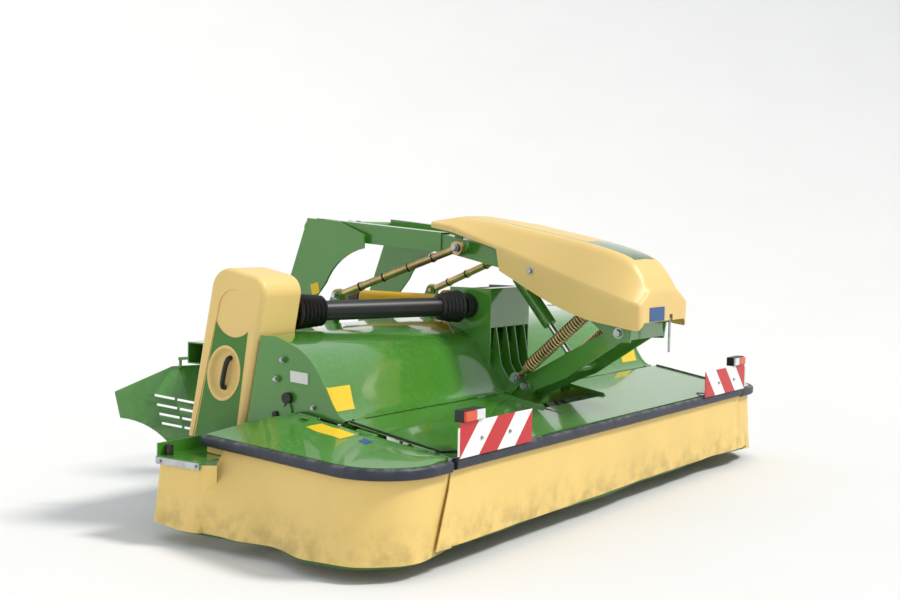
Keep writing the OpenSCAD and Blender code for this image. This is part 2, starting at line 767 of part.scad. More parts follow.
// Low step plate behind a side guard, with the strip that clamps the fixed curtain
module side_step(s) on_side(s) {
  inner = s < 0 ? tower_x - 40 + seat : throat_half + end_plate_t + 2 * seat;
  outer = tower_x + 12;
  mid = rotor_y + 20;
  color(green) {
    translate([inner, mid, step_z]) cube([step_x - inner + eps, step_back - mid, step_t]);
    translate([outer, step_front, step_z]) cube([step_x - outer + eps, mid - step_front + eps, step_t]);
    translate([outer, step_back - step_t, step_z]) cube([step_x - outer, step_t, 60]);
  }
  color(zinc) translate([step_x, step_front, step_z + step_t - strip_h])
    cube([step_t, step_back - step_front, strip_h]);
}

// Hollow tube of the rotor with its stub shafts and its rows of V shaped tines
module tine_rotor() {
  root = rotor_tube_r - 8;
  reach = tine_tip_r - root;
  half = rotor_length / 2;
  stub_r = 39.95;
  step = rotor_length / tines_in_row;
  color(steel) {
    difference() {
      pin_x(rotor, rotor_tube_r, -half, rotor_length);
      for (x = [-half - 1, half - 39]) pin_x(rotor, root, x, 40);
      pin_x(rotor, root, -half + 50, rotor_length - 100);
    }
    both_sides() pin_x(rotor, stub_r, half - 44, throat_half + end_plate_t - half + 44);
  }
  color(black) translate([0, rotor_y, rotor_z]) for (row = [0:tine_rows - 1])
    rotate([row * 360 / tine_rows, 0, 0]) for (i = [0:tines_in_row - 1])
      translate([-half + (i + 0.35 + 0.3 * (row % 2)) * step, tine_t / 2, root])
        rotate([90, 0, 0]) linear_extrude(tine_t)
          polygon([[-18, 0], [18, 0], [58, reach - 6], [44, reach - 1], [0, 46],
            [-44, reach - 1], [-58, reach - 6]]);
}

// Height of the front guard's surface
function guard_z(y) = lerp(guard_front_z, guard_hinge_z, y / guard_hinge_y);

// Section of the front guard's sheet between two distances behind the front edge
module guard_field(y0, y1) polygon([[y0, guard_z(y0)], [y1, guard_z(y1)],
  [y1, guard_z(y1) - sheet_t], [y0, guard_z(y0) - sheet_t]]);

// Front guard sheet in three fields, so that the linkage has room in the middle one
module front_guard() color(green) {
  back = guard_hinge_y - guard_hinge_r - 5;
  front = fold_start_y;
  lip = 14;
  both_sides() across(slot_half, guard_half - slot_half) guard_field(front, back);
  across(-slot_half, 2 * slot_half) guard_field(front, slot_y);
  both_sides() across(slot_half, sheet_t) polygon([[slot_y - lip, guard_z(slot_y - lip) - 1],
    [slot_y, guard_z(slot_y) + lip], [back, guard_z(back) + lip], [back, guard_z(back) - 1]]);
  both_sides() for (x = hinge_places) difference() {
    union() {
      pin_x(guard_hinge, guard_hinge_r, x, hinge_w);
      across(x, hinge_w) polygon([[back - 4, guard_z(back - 4) - sheet_t + 1],
        [guard_hinge_y, guard_hinge[1] - sheet_t / 2], [guard_hinge_y, guard_hinge[1] + sheet_t / 2],
        [back - 4, guard_z(back - 4) - 1]]);
    }
    pin_x(guard_hinge, guard_pin_r + pin_fit, x - 1, hinge_w + 2);
  }
}

// Section of the rubber edge along the front
function trim_section() = let (y = fold_start_y - seat, z = guard_front_z)
  [[y, z - 2], [y - 17, z + 1], [y - 27, z - 6], [y - 33, z - trim_h / 2],
   [y - 27, z - trim_h + 7], [y - 17, z - trim_h], [y, z - trim_h + 4]];

module front_trim() color(black)
  across(-guard_half, 2 * guard_half) polygon(trim_section());

// Front curtain, hung behind the rubber edge
module front_curtain() color(cream) {
  y = fold_start_y + 3;
  top = guard_z(y) - sheet_t - seat;
  translate([-guard_half, y, front_hem_z]) cube([2 * guard_half, curtain_t, top - front_hem_z]);
}

// Warning boards on the front edge
module warning_boards() color("white") both_sides()
  translate([guard_half - sign_w, -sign_y - sign_t, guard_front_z - 2])
    cube([sign_w, sign_t, sign_h]);

// Posts of the boards and the lamp housings above them
module board_lamps() color("orange") both_sides() {
  y0 = -sign_y + seat;
  bar = 14;
  reach = fold_start_y + 38;
  foot = guard_z(reach) + seat;
  for (x = [guard_half - 160, guard_half - sign_w + 60]) translate([x, y0, 0]) {
    translate([0, 0, guard_front_z - 2]) cube([bar, 6, sign_h]);
    translate([0, 0, foot]) cube([bar, reach - y0, 5]);
  }
  translate([guard_half - lamp_w - 20, y0 - 6, guard_front_z - 2 + sign_h + seat])
    cube([lamp_w, 44, lamp_h]);
  translate([guard_half - 160, y0, guard_front_z - 3 + sign_h]) cube([bar, 6, 2]);
}

// A straight piece of cable from point a to point b
module cable_run(a, b) hull() for (p = [a, b]) translate(p) sphere(r = cable_r, $fn = 12);

// Cables of the lamps, held along the front guard's edges and up to the lamps
module lamp_cables() color(black) both_sides() {
  x = guard_half - cable_r - 2;
  lamp_x = guard_half - 138;
  y = -sign_y + 9;
  line = [[x, guard_hinge_y - 22], [x, 75], [lamp_x, fold_start_y + 4], [lamp_x, y]];
  points = concat([for (q = line) [q[0], q[1], guard_z(q[1]) + cable_r + seat]],
    [[lamp_x, y, guard_front_z - 2 + sign_h - cable_r]]);
  for (i = [0:len(points) - 2]) cable_run(points[i], points[i + 1]);
}

// The same cables behind the front guard's hinge, held on the side rails
module hood_cables() color(black) both_sides() {
  x = hood_half + cable_r + 7;
  ends = [for (y = [guard_hinge_y + 12, fold_end_y - 10]) [x, y, fold_z(y) - strap_drop + cable_r + seat]];
  cable_run(ends[0], ends[1]);
}

// Outline of a side guard in plan, from the front joint round the corner to the back
function side_line(d, end = side_rear_y) = let (c = [side_half - corner_r, corner_r - 5], a = side_taper,
    x_end = c[0] + corner_r * cos(a) - (end - c[1] - corner_r * sin(a)) * tan(a))
  [[fold_x + guard_gap, d - 5], each arc(c, corner_r - d, -90, a, 10), [x_end - d / cos(a), end]];

function fold_z(y) = fold_z0 + (y - fold_start_y) * fold_rise / (fold_end_y - fold_start_y);

// Puts a piece drawn along Z onto the fold line, with X outwards and Y downwards
module along_fold(y) translate([fold_x, y, fold_z(y)]) rotate([-90 + fold_tilt, 0, 0]) children();

// A side guard's sheet, ruled from the fold line out to the rubber edge, with its hinge eyes
module side_guard(s) on_side(s) color(green) {
  outer = finer(side_line(edge_inset), 4);
  n = len(outer);
  whole = walk(outer, n - 1);
  inner = fold_x + hinge_r + 2;
  sheet([for (i = [0:n - 1]) let (y = lerp(fold_start_y, fold_end_y, walk(outer, i) / whole),
      p = [max(outer[i][0], inner + 4), outer[i][1], edge_z], q = [inner, y, fold_z(y)])
    [for (t = [0, 0.5, 1]) lerp(q, p, t) + [0, 0, camber * 4 * t * (1 - t)]]], sheet_t);
  for (y = eye_places) along_fold(y + eye_w + seat) difference() {
    union() {
      cylinder(r = hinge_r, h = eye_w);
      translate([0, -2, 0]) cube([hinge_r + 26, 5, eye_w]);
    }
    translate([0, 0, -1]) cylinder(r = eye_pin_r + pin_fit, h = eye_w + 2);
  }
}

// Side rails in front of the main tube, with the eyes and pins that the side guards turn on
module side_rails() color(green) both_sides() {
  x0 = hood_half + seat;
  drop = 14;
  across(x0, rail_t) polygon([[60, fold_z(60) - 60], [60, fold_z(60) - drop],
    [fold_end_y, fold_z(fold_end_y) - drop], [fold_end_y, fold_z(fold_end_y) - 70],
    [tube_y - 40, tube_z + 30], [300, fold_z(300) - 64]]);
  for (y = eye_places) {
    for (d = [0, 2 * (eye_w + seat)]) along_fold(y + d) {
      cylinder(r = hinge_r, h = eye_w);
      translate([x0 - fold_x, strap_drop, 0]) cube([fold_x - x0, 5, eye_w]);
      translate([x0 - fold_x, strap_drop, 0]) cube([rail_t, 16, eye_w]);
    }
    along_fold(y + eye_w / 2) cylinder(r = eye_pin_r, h = 2 * (eye_w + seat));
  }
}

// Rubber edge of a side guard
module side_trim(s) on_side(s) color(black)
  translate([0, 0, edge_z - trim_h]) linear_extrude(trim_h)
    polygon(concat(side_line(0), reverse(side_line(edge_inset - seat))));

// Curtain of a side guard, hung inside its rubber edge and ended before the fixed one
module side_curtain(s) on_side(s) color(cream)
  translate([0, 0, side_hem_z]) linear_extrude(edge_z - sheet_t + 0.8 - side_hem_z)
    polygon(concat(side_line(trim_t, curtain_split), reverse(side_line(trim_t + curtain_t, curtain_split))));

// Fixed curtain behind it, hung from the strip of the step plate
module rear_curtain(s) on_side(s) color(cream) {
  h = step_z - seat - side_hem_z;
  x = step_x + step_t - curtain_t;
  translate([x, step_front, side_hem_z]) cube([curtain_t, step_depth, h - strip_h + step_t]);
  translate([x - 100, step_front, side_hem_z]) cube([100 + eps, curtain_t, h - strip_h + step_t]);
}

module link_outline() hull() {
  translate(pivot) circle(r = pin_r + 23);
  translate(link_mid) circle(r = 52);
  translate(arm_pivot) circle(r = pin_r + 21);
}

// Lower links with the cross tube between them and the clevis of the lift cylinder's rod
module link_arms() color(green) {
  clevis = rod_r + 4;
  difference() {
    union() {
      both_sides() across(link_half - link_t / 2, link_t) link_outline();
      pin_x(link_mid, 30, -link_half, 2 * link_half);
    }
    both_sides() pin_x(arm_pivot, pin_r + pin_fit, link_half - link_t, 2 * link_t);
  }
  both_sides() {
    pin_x(pivot, pin_r, link_half - link_t / 2 - 15, link_t + 30);
    across(clevis, 12) hull() {
      translate(link_mid) circle(r = 28);
      translate(ram_foot) circle(r = 22);
    }
  }
  both_sides() pin_x(ram_foot, ram_pin_r - 2, clevis + 1, 13);
}

// Relief springs as turns round a hollow core, hooked to the lift arm at the top
module relief_springs() color(zinc) {
  span = norm(spring_head - spring_foot);
  start = 80;
  cap = 20;
  mean_r = spring_r - wire_r;
  core_r = 13;
  pitch = 2 * wire_r + 2.5;
  turns = floor((span - 140) / pitch);
  end = start + turns * pitch;
  both_sides() run_between(spring_foot, spring_head, spring_half) {
    rotate_extrude() polygon(concat([[core_r, start]],
      [for (i = [0:turns - 1]) each arc([mean_r, start + (i + 0.5) * pitch], wire_r, -90, 90, 6)],
      [[0, end], [0, end - cap], [core_r, end - cap]]));
    translate([0, 0, end - 8]) cylinder(r = 11, h = span - end - 8);
    difference() {
      pin_x([0, span], 24, -9, 18);
      pin_x([0, span], 13 + spring_play, -10, 20);
    }
  }
}

// Eye rods that draw out of the springs at their feet
module spring_rods() color(zinc) both_sides() run_between(spring_foot, spring_head, spring_half)
  difference() {
    union() {
      pin_x([0, 0], 22, -10, 20);
      cylinder(r = 12.9, h = 200);
    }
    pin_x([0, 0], spring_pin_r + pin_fit, -14, 28);
  }

// Plated tie struts from the rear beam to the lift arm
module tie_struts() color(zinc) both_sides() {
  d = [strut_head_x - strut_foot_x, strut_head[0] - strut_foot[0], strut_head[1] - strut_foot[1]];
  span = norm(d);
  eye_r = 34;
  translate([strut_foot_x, strut_foot[0], strut_foot[1]])
    rotate([0, acos(d[2] / span), atan2(d[1], d[0])]) {
      translate([0, 0, eye_r - 3]) cylinder(r = strut_r, h = span - 2 * eye_r + 6);
      for (i = [1:4]) translate([0, 0, span * i / 5]) cylinder(r = strut_r + 3, h = 10);
    }
  difference() {
    pin_x(strut_foot, eye_r, strut_foot_x - 14, 28);
    pin_x(strut_foot, strut_pin_r - eps, strut_foot_x - 15, 30);
  }
  pin_x(strut_foot, strut_pin_r, strut_foot_x - 32, 64);
  difference() {
    pin_x(strut_head, eye_r, strut_head_x - 14, 28);
    pin_x(strut_head, strut_pin_r + 6, strut_head_x - 15, 30);
  }
}

// Barrel of the lift cylinder, hung from the lift arm
module lift_barrel() color(green) run_between(ram_head, ram_foot) difference() {
  union() {
    pin_x([0, 0], ram_pin_r + 12, -16, 32);
    translate([-16, -20, 0]) cube([32, 40, 50]);
    translate([0, 0, 40]) cylinder(r = barrel_r, h = ram_rest * 0.6 - 20);
  }
  pin_x([0, 0], ram_pin_r + pin_fit, -17, 34);
  translate([0, 0, 60]) cylinder(r = rod_r + pin_fit, h = ram_rest);
}

// Chromed rod of the lift cylinder with its open eye
module lift_rod() color(zinc) run_between(ram_head, ram_foot) {
  translate([0, 0, 125]) cylinder(r = rod_r, h = ram_rest - 125);
  pin_x([0, ram_rest], ram_pin_r + 11, -rod_r, 2 * rod_r);
  pin_x([0, ram_rest], ram_pin_r - 2, -rod_r - 2, 2 * rod_r + 4);
}

// Corners of an arm beam's section at a given place
function arm_slice(p, x, w, h) = [for (c = [[-1, -1], [1, -1], [1, 1], [-1, 1]])
  [x + c[0] * w / 2, p[0], p[1] + c[1] * h / 2]];

// Lever in the front of the lift arm, on a pin that goes through the cover's slot
module lock_lever() color(zinc) translate([lever_x, 0, 0]) {
  front = arm_pivot_y - 141;
  top = arm_pivot_z + 52;
  translate([0, front, top - 150]) cylinder(r = 6, h = 164);
  translate([0, front, top]) rotate([-90, 0, 0]) cylinder(r = 6, h = nose_y - seat - front);
}

// Two beams of the lift arm with their nose plates, down to the front pivot
module lift_arm() color(green) {
  rear_x = head_half - head_t - arm_beam_w / 2 - seat;
  step = 12;
  nose_t = 12;
  ear = [[-60, -42], [30, -45], [165, 63], [645, 283], [645, 369], [565, 369], [105, 143], [-75, 60]];
  both_sides() {
    loft([arm_slice(beam_rear, rear_x, arm_beam_w, arm_beam_h),
      arm_slice(lerp(beam_rear, beam_bend, 0.2), rear_x, arm_beam_w, arm_beam_h),
      arm_slice(beam_bend, arm_front_half + 42, arm_beam_w, arm_beam_h)]);
    loft([arm_slice(beam_bend + [60, 4], arm_front_half + 48, arm_beam_w - step, arm_beam_h - step),
      arm_slice(beam_bend, arm_front_half + 38, arm_beam_w - step, arm_beam_h - step),
      arm_slice(beam_front, arm_front_half, arm_beam_w - step, arm_beam_h - step)]);
    across(arm_front_half - nose_t / 2, nose_t) polygon([for (p = ear) arm_pivot + p]);
    across(strut_head_x - 14 - 5 * seat - 10, 10) hull() {
      translate(strut_head) circle(r = 30);
      translate(strut_head + [-50, 4]) square([140, 20]);
    }
    pin_x(strut_head, strut_pin_r + 2, arm_front_half, strut_head_x - arm_front_half + 26);
    across(rod_r + 4, nose_t) hull() {
      translate(ram_head) circle(r = 24);
      translate(beam_front) circle(r = 34);
    }
    for (k = [1, 5]) let (x = k == 1 ? arm_front_half + 22 : arm_front_half - nose_t / 2,
        y = arm_pivot_y + cover_table[k][0])
      across(x, nose_t) polygon([[y - 40, cover_under(k, x + nose_t) - 90],
        [y + 10, cover_under(k, x + nose_t) - (k == 1 ? 90 : 220)], [y, cover_under(k, x + nose_t)],
        [y - 10, cover_under(k, x + nose_t) - 4]]);
    pin_x(arm_pivot, pin_r, link_half - link_t / 2 - 12, arm_front_half - link_half + link_t / 2 + 18);
    pin_x(spring_head, 13, arm_front_half, spring_half - arm_front_half + 18);
  }
  pin_x(ram_head, ram_pin_r, -rod_r - 10, 2 * rod_r + 20);
  for (c = [beam_front, arm_pivot + [225, 133]])
    pin_x(c, 34, -arm_front_half, 2 * arm_front_half);
  across(-arm_front_half, 2 * arm_front_half) translate([nose_y, arm_pivot_z - 30]) square([10, 100]);
}

// Outline of a headstock plate, with its arch
function head_line() = let (t = low_pin, a = [hitch_pin_y - 663, head_top - 480])
  [[beam_rear[0] - 160, head_top - 15], [beam_rear[0] + 50, head_top], t + [-93, 370], t + [60, 20],
   t + [35, -50], t + [-35, -50], t + [-165, 80], t + [-235, 240], t + [-300, 350],
   each arc(a, 335, 25, 80, 8), [beam_rear[0] - 322, head_top - 80]];

// Headstock plates with their cross tubes, hitch pins, top link ears and leg sleeves
module headstock() {
  tube = [hitch_pin_y - 45, hitch_pin_z + 30];
  outer = leg_w + 2 * sleeve_wall;
  inner = leg_w + 2 * sleeve_fit;
  color(green) difference() {
    union() {
      both_sides() {
        across(head_half - head_t, head_t) polygon(head_line());
        across(top_ear_x, top_ear_t) hull() {
          translate(top_pin) circle(r = 34);
          translate(head_tube) circle(r = 40);
        }
      }
      pin_x(tube, 40, -head_half + 1, 2 * head_half - 2);
      pin_x(head_tube, head_tube_r, -head_half + 1, 2 * head_half - 2);
    }
    pin_x(top_pin, top_link_r, -60, 120);
  }
  color(zinc) both_sides() {
    pin_x(low_pin, hitch_pin_r, head_half - 2, hitch_pin_l + 12);
    pin_x(low_pin, hitch_pin_r + 16, head_half - 1, 11);
  }
  color(green) both_sides() translate([leg_x, leg_y, sleeve_z]) difference() {
    translate([-outer / 2 - 3 * seat, -outer / 2, 0]) cube([outer + 3 * seat, outer, sleeve_h]);
    translate([-inner / 2, -inner / 2, -1]) cube([inner, inner, sleeve_h + 2]);
  }
}

// Sections of the arm cover, behind the front pivot: y, top z, top half width, ridge z,
// ridge half width, lower edge z, lower edge half width
cover_table = [
  [1030, 517, 180, 505, 262, 478, 262],
  [905, 533, 185, 485, 268, 457, 268],
  [635, 499, 182, 391, 274, 379, 274],
  [615, 495, 182, 385, 274, 273, 273],
  [345, 445, 174, 293, 278, 138, 275],
  [145, 403, 166, 225, 279, 66, 275],
  [-14, 352, 156, 173, 278, 38, 273],
  [-85, 288, 150, 151, 274, 26, 268],
  [-127, 213, 146, 141, 269, 21, 262]];

// Half of a cover section, from the lower edge up to the crown, and the whole one
function cover_half(r, t) = let (y = arm_pivot_y + r[0], z = arm_pivot_z)
  [[r[6] - t, y, z + r[5]], [r[4] - t, y, z + r[3]],
   [r[2] - t * 0.6, y, z + r[1] - t], [0, y, z + r[1] + 8 - t]];
function cover_full(r, t) = let (h = cover_half(r, t))
  concat(h, [for (i = [2:-1:0]) [-h[i][0], h[i][1], h[i][2]]]);

// Height of the cover's underside over row k of the table, at the half width x
function cover_under(k, x) = let (h = cover_half(cover_table[k], cover_t))
  lerp(h[2][2], h[1][2], (x - h[2][0]) / (h[1][0] - h[2][0])) - seat;

// Hollow cover over the front of the lift arm, with its front end closed
module arm_cover() color(cream) {
  loft([for (r = cover_table) concat(cover_full(r, 0), reverse(cover_full(r, cover_t)))]);
  front = cover_table[len(cover_table) - 1];
  slot = [26, 4 * cover_t, 44];
  difference() {
    loft([for (d = [0, cover_t]) [for (p = cover_full(front, 0)) p - [0, d - eps, 0]]]);
    translate([lever_x, arm_pivot_y + front[0], arm_pivot_z + 52] - slot / 2) cube(slot);
  }
}

// Outline of a swath board, along the board and upwards
function board_line() = let (top = swath_high, long = board_length)
  concat([[2 * swath_pin_r, top - 500], [100, top - 500], [150, top - 395]],
    reverse(arc([long - 10, top - 620], 0.68 * long, 93, 143, 8)),
    [[long, top - 150], [230, top - 20], [0, top], [0, swath_low], [2 * swath_pin_r, swath_low]]);

// Swath board with its slots, its pin tube and its grip
module swath_board(s) on_side(s) color(green)
  translate([swath_x, swath_y, 0]) rotate([0, 0, -board_angle]) {
    slots = 4;
    slot_l = 100;
    difference() {
      union() {
        across(-board_t / 2, board_t) polygon(board_line());
        translate([0, 0, swath_low]) cylinder(r = swath_pin_r + 9, h = swath_high - swath_low);
      }
      translate([0, 0, swath_low - 1])
        cylinder(r = swath_pin_r + pin_fit, h = swath_high - swath_low + 2);
      for (i = [0:slots - 1]) translate([-board_t, 70 + 12 * i, swath_high - 330 + 44 * i])
        rotate([9, 0, 0]) for (d = [0, slot_l + 12]) translate([0, d, 0])
          cube([2 * board_t, slot_l, 11]);
    }
    for (d = [90, 190]) translate([0, d, swath_high - 8 - d * 0.09]) cylinder(r = 7, h = 40);
    translate([-7, 82, swath_high + 20]) rotate([-5, 0, 0]) cube([14, 116, 14]);
  }

// Parking leg with its foot plate
module parking_leg(s) on_side(s) color(zinc) translate([leg_x, leg_y, 0]) {
  wall = 5;
  difference() {
    translate([-leg_w / 2, -leg_w / 2, foot_t]) cube([leg_w, leg_w, leg_length]);
    translate([-leg_w / 2 + wall, -leg_w / 2 + wall, foot_t + 1])
      cube([leg_w - 2 * wall, leg_w - 2 * wall, leg_length]);
  }
  translate([-foot_w / 2, -foot_w / 2, 0]) cube([foot_w, foot_w, foot_t + eps]);
}

place() cutterbar();
place() skids();
place() main_frame();
place() end_plates();
place() hood();
place() rear_beam();
place() gearbox_console();
place() main_gearbox();
place() side_gearbox();
place() side_rails();
place() drive_tower();
place() tower_handle();
place() cross_shaft_guard();
place() input_guard();
place() input_shaft();
place() side_step(-1);  // side_step_left
place() side_step(1);  // side_step_right
place() rear_curtain(-1);  // rear_curtain_left
place() rear_curtain(1);  // rear_curtain_right
place() tine_rotor();
place() front_guard();
place() front_trim();
place() front_curtain();
place() warning_boards();
place() board_lamps();
place() lamp_cables();
place() hood_cables();
place() side_guard(-1);  // side_guard_left
place() side_guard(1);  // side_guard_right
place() side_trim(-1);  // side_trim_left
place() side_trim(1);  // side_trim_right
place() side_curtain(-1);  // side_curtain_left
place() side_curtain(1);  // side_curtain_right
place() link_arms();
place() relief_springs();
place() spring_rods();
place() tie_struts();
place() lift_barrel();
place() lift_rod();
place() lift_arm();
place() lock_lever();
place() headstock();
place() arm_cover();
place() swath_board(-1);  // swath_board_left
place() swath_board(1);  // swath_board_right
place() parking_leg(-1);  // parking_leg_left
place() parking_leg(1);  // parking_leg_right
for (i = [1:disc_count])
  cutting_disc(i);
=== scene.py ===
"""Looks of a front mounted disc mower conditioner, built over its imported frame.

Lengths are in metres in the shared frame: +Z is up, -Y is the direction of travel and
-X is the side of the drive tower. Places are written from the front guard's edge, as in
the part's source, and `spot` moves them into the frame.
"""

import json
import logging
import math
from dataclasses import dataclass, field
from enum import Enum
from typing import Callable, Iterable, Sequence

import bmesh
import bpy
from mathutils.bvhtree import BVHTree
from mathutils import Matrix, Vector

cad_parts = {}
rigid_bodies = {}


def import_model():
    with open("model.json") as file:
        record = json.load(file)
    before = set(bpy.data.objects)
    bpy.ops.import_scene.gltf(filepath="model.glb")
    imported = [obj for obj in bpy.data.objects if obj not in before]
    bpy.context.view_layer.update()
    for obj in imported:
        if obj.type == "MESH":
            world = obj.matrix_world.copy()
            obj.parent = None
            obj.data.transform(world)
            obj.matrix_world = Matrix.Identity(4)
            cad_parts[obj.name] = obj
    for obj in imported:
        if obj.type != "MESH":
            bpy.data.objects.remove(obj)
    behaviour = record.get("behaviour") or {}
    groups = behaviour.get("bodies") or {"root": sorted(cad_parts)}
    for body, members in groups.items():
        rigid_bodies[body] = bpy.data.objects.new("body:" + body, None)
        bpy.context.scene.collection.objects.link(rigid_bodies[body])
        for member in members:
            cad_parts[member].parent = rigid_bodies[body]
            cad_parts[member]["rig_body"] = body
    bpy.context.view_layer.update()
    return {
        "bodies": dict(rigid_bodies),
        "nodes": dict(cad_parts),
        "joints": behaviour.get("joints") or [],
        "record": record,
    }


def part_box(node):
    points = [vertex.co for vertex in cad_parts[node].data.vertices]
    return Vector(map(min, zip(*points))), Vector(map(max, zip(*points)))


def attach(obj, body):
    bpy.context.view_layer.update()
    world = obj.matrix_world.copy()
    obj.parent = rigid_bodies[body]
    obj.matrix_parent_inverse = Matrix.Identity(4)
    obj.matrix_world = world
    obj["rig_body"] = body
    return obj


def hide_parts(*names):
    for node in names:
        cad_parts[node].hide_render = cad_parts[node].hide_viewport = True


LOG = logging.getLogger("mower")
FRONT_EDGE = -0.906
MERGE = 1e-6
CAD_MERGE = 2e-5
CAD_FLAT = math.radians(0.6)
PLATE_ROWS = 12
PLATE_COLUMNS = 16
PLATE_REACH = 0.12
PLATE_LIFT = 0.0011
PLATE_THICK = 0.0012
CLOTH_THICK = 0.004
CLOTH_ROWS = 18

Point = tuple[float, float, float]
Flat = tuple[float, float]


def spot(x: float, y: float, z: float) -> Vector:
    """A place written from the front guard's edge, in the shared frame."""
    return Vector((x, y + FRONT_EDGE, z))


def tint(red: int, green: int, blue: int) -> tuple[float, float, float, float]:
    """A colour of three values up to 255 as a linear one."""
    def linear(value: int) -> float:
        """One channel, linear."""
        part = value / 255
        return part / 12.92 if part <= 0.04045 else ((part + 0.055) / 1.055) ** 2.4

    return (linear(red), linear(green), linear(blue), 1.0)


def arc(centre: Flat, radius: float, start: float, end: float, steps: int) -> list[Flat]:
    """Points of an arc between two angles in degrees."""
    turns = [math.radians(start + (end - start) * i / steps) for i in range(steps + 1)]
    return [(centre[0] + radius * math.cos(a), centre[1] + radius * math.sin(a)) for a in turns]


def smooth_step(value: float) -> float:
    """A value from 0 to 1, eased at both ends and clamped."""
    value = min(1.0, max(0.0, value))
    return value * value * (3 - 2 * value)


def add_node(tree: bpy.types.NodeTree, kind: str, values: dict | None, settings: dict) -> bpy.types.Node:
    """Adds a node to a tree.

    Args:
        tree: The node tree.
        kind: The node's type.
        values: Input names or numbers, each with a constant or a socket to link.
        settings: Properties of the node itself.

    Returns:
        The new node.
    """
    node = tree.nodes.new(kind)
    for key, value in settings.items():
        setattr(node, key, value)
    for key, value in (values or {}).items():
        if isinstance(value, bpy.types.NodeSocket):
            tree.links.new(value, node.inputs[key])
        else:
            node.inputs[key].default_value = value
    return node


def close_up(mesh: bpy.types.Mesh, source: bpy.types.Mesh | None = None, distance: float = MERGE,
             flat: float = 0.0) -> None:
    """Merges a mesh's doubles and turns its faces outward.

    Args:
        mesh: The mesh that takes the result.
        source: The mesh that is read, if it is another one.
        distance: Points closer than this are merged.
        flat: Edges that bend less than this angle are melted away.
    """
    work = bmesh.new()
    work.from_mesh(source or mesh)
    bmesh.ops.remove_doubles(work, verts=work.verts, dist=distance)
    if flat:
        bmesh.ops.dissolve_limit(work, angle_limit=flat, verts=work.verts, edges=work.edges)
    bmesh.ops.recalc_face_normals(work, faces=work.faces)
    work.to_mesh(mesh)
    work.free()


def quads(rows: int, wide: int, closed: bool = False) -> list[tuple[int, ...]]:
    """Faces between rows of `wide` points each; a closed row also joins its ends."""
    return [(r * wide + c, r * wide + (c + 1) % wide, (r + 1) * wide + (c + 1) % wide, (r + 1) * wide + c)
            for r in range(rows - 1) for c in range(wide if closed else wide - 1)]


def shade(mesh: bpy.types.Mesh, angle: float) -> None:
    """Shades a mesh smooth, apart from edges sharper than an angle in degrees."""
    mesh.shade_smooth()
    mesh.set_sharp_from_angle(angle=math.radians(angle))


class Side(Enum):
    """The two sides of the machine."""

    LEFT = -1
    RIGHT = 1

    @property
    def word(self) -> str:
        """The side's name in node and body names."""
        return self.name.lower()


# --------------------------------------------------------------------------- finishes


class Shader:
    """A material's node tree, with short calls for the nodes used here."""

    def __init__(self, name: str) -> None:
        """Starts an empty material.

        Args:
            name: The material's name.
        """
        self.material = bpy.data.materials.new(name)
        self.material.use_nodes = True
        self.tree = self.material.node_tree
        self.tree.nodes.clear()
        self.output = self.tree.nodes.new("ShaderNodeOutputMaterial")
        self.coords = self.tree.nodes.new("ShaderNodeTexCoord").outputs["Object"]

    def add(self, kind: str, values: dict | None = None, **settings) -> bpy.types.Node:
        """Adds a node with its inputs and settings."""
        return add_node(self.tree, kind, values, settings)

    def noise(self, scale: float, detail: float = 2.0):
        """Noise from 0 to 1 at a scale in cycles per metre."""
        values = {"Vector": self.coords, "Scale": scale, "Detail": detail}
        return self.add("ShaderNodeTexNoise", values).outputs["Fac"]

    def band(self, value, low: float, high: float, top: float = 1.0):
        """0 below low, `top` above high, eased between the two."""
        values = {"Value": value, "From Min": low, "From Max": high, "To Max": top}
        node = self.add("ShaderNodeMapRange", values, interpolation_type="SMOOTHSTEP")
        return node.outputs["Result"]

    def math(self, operation: str, first, second=0.0):
        """One arithmetic step."""
        node = self.add("ShaderNodeMath", {0: first, 1: second}, operation=operation)
        return node.outputs[0]

    def axis(self, name: str, vector=None):
        """One coordinate of the place on the object."""
        return self.add("ShaderNodeSeparateXYZ", {0: vector or self.coords}).outputs[name]

    def up(self):
        """How far the surface faces up, from -1 to 1."""
        normal = self.add("ShaderNodeNewGeometry").outputs["Normal"]
        return self.axis("Z", normal)

    def mix(self, factor, first, second):
        """A colour between two."""
        node = self.add("ShaderNodeMix", {0: factor, 6: first, 7: second}, data_type="RGBA")
        return node.outputs[2]

    def bump(self, height, strength: float, distance: float, normal=None):
        """A surface bent by a height."""
        values = {"Height": height, "Strength": strength, "Distance": distance}
        if normal is not None:
            values["Normal"] = normal
        return self.add("ShaderNodeBump", values).outputs["Normal"]

    def finish(self, **values) -> bpy.types.Material:
        """Ends in one principled surface; names have _ for a space."""
        named = {key.replace("_", " "): value for key, value in values.items()}
        shader = self.add("ShaderNodeBsdfPrincipled", named)
        self.tree.links.new(shader.outputs[0], self.output.inputs["Surface"])
        return self.material


@dataclass(frozen=True)
class Enamel:
    """Glossy paint over metal, with a thin dust on what faces up."""

    name: str
    colour: tuple[int, int, int]
    dust: float = 0.05
    roughness: float = 0.2

    def build(self) -> bpy.types.Material:
        """Makes the material."""
        s = Shader(self.name)
        base = tint(*self.colour)
        deep = tint(*(int(c * 0.93) for c in self.colour))
        patches = s.mix(s.band(s.noise(1.3, 2.0), 0.3, 0.75), base, deep)
        specks = s.math("MULTIPLY", s.band(s.noise(34.0, 5.0), 0.42, 0.68), s.noise(5.0, 3.0))
        lying = s.math("MULTIPLY", specks, s.band(s.up(), 0.1, 0.95, self.dust * 2.0))
        colour = s.mix(lying, patches, tint(196, 190, 160))
        rough = s.math("ADD", s.math("MULTIPLY", lying, 0.6), self.roughness)
        return s.finish(Base_Color=colour, Roughness=rough, Coat_Weight=0.8, Coat_Roughness=0.05,
                        Normal=s.bump(s.noise(3.0, 2.0), 0.12, 0.004))


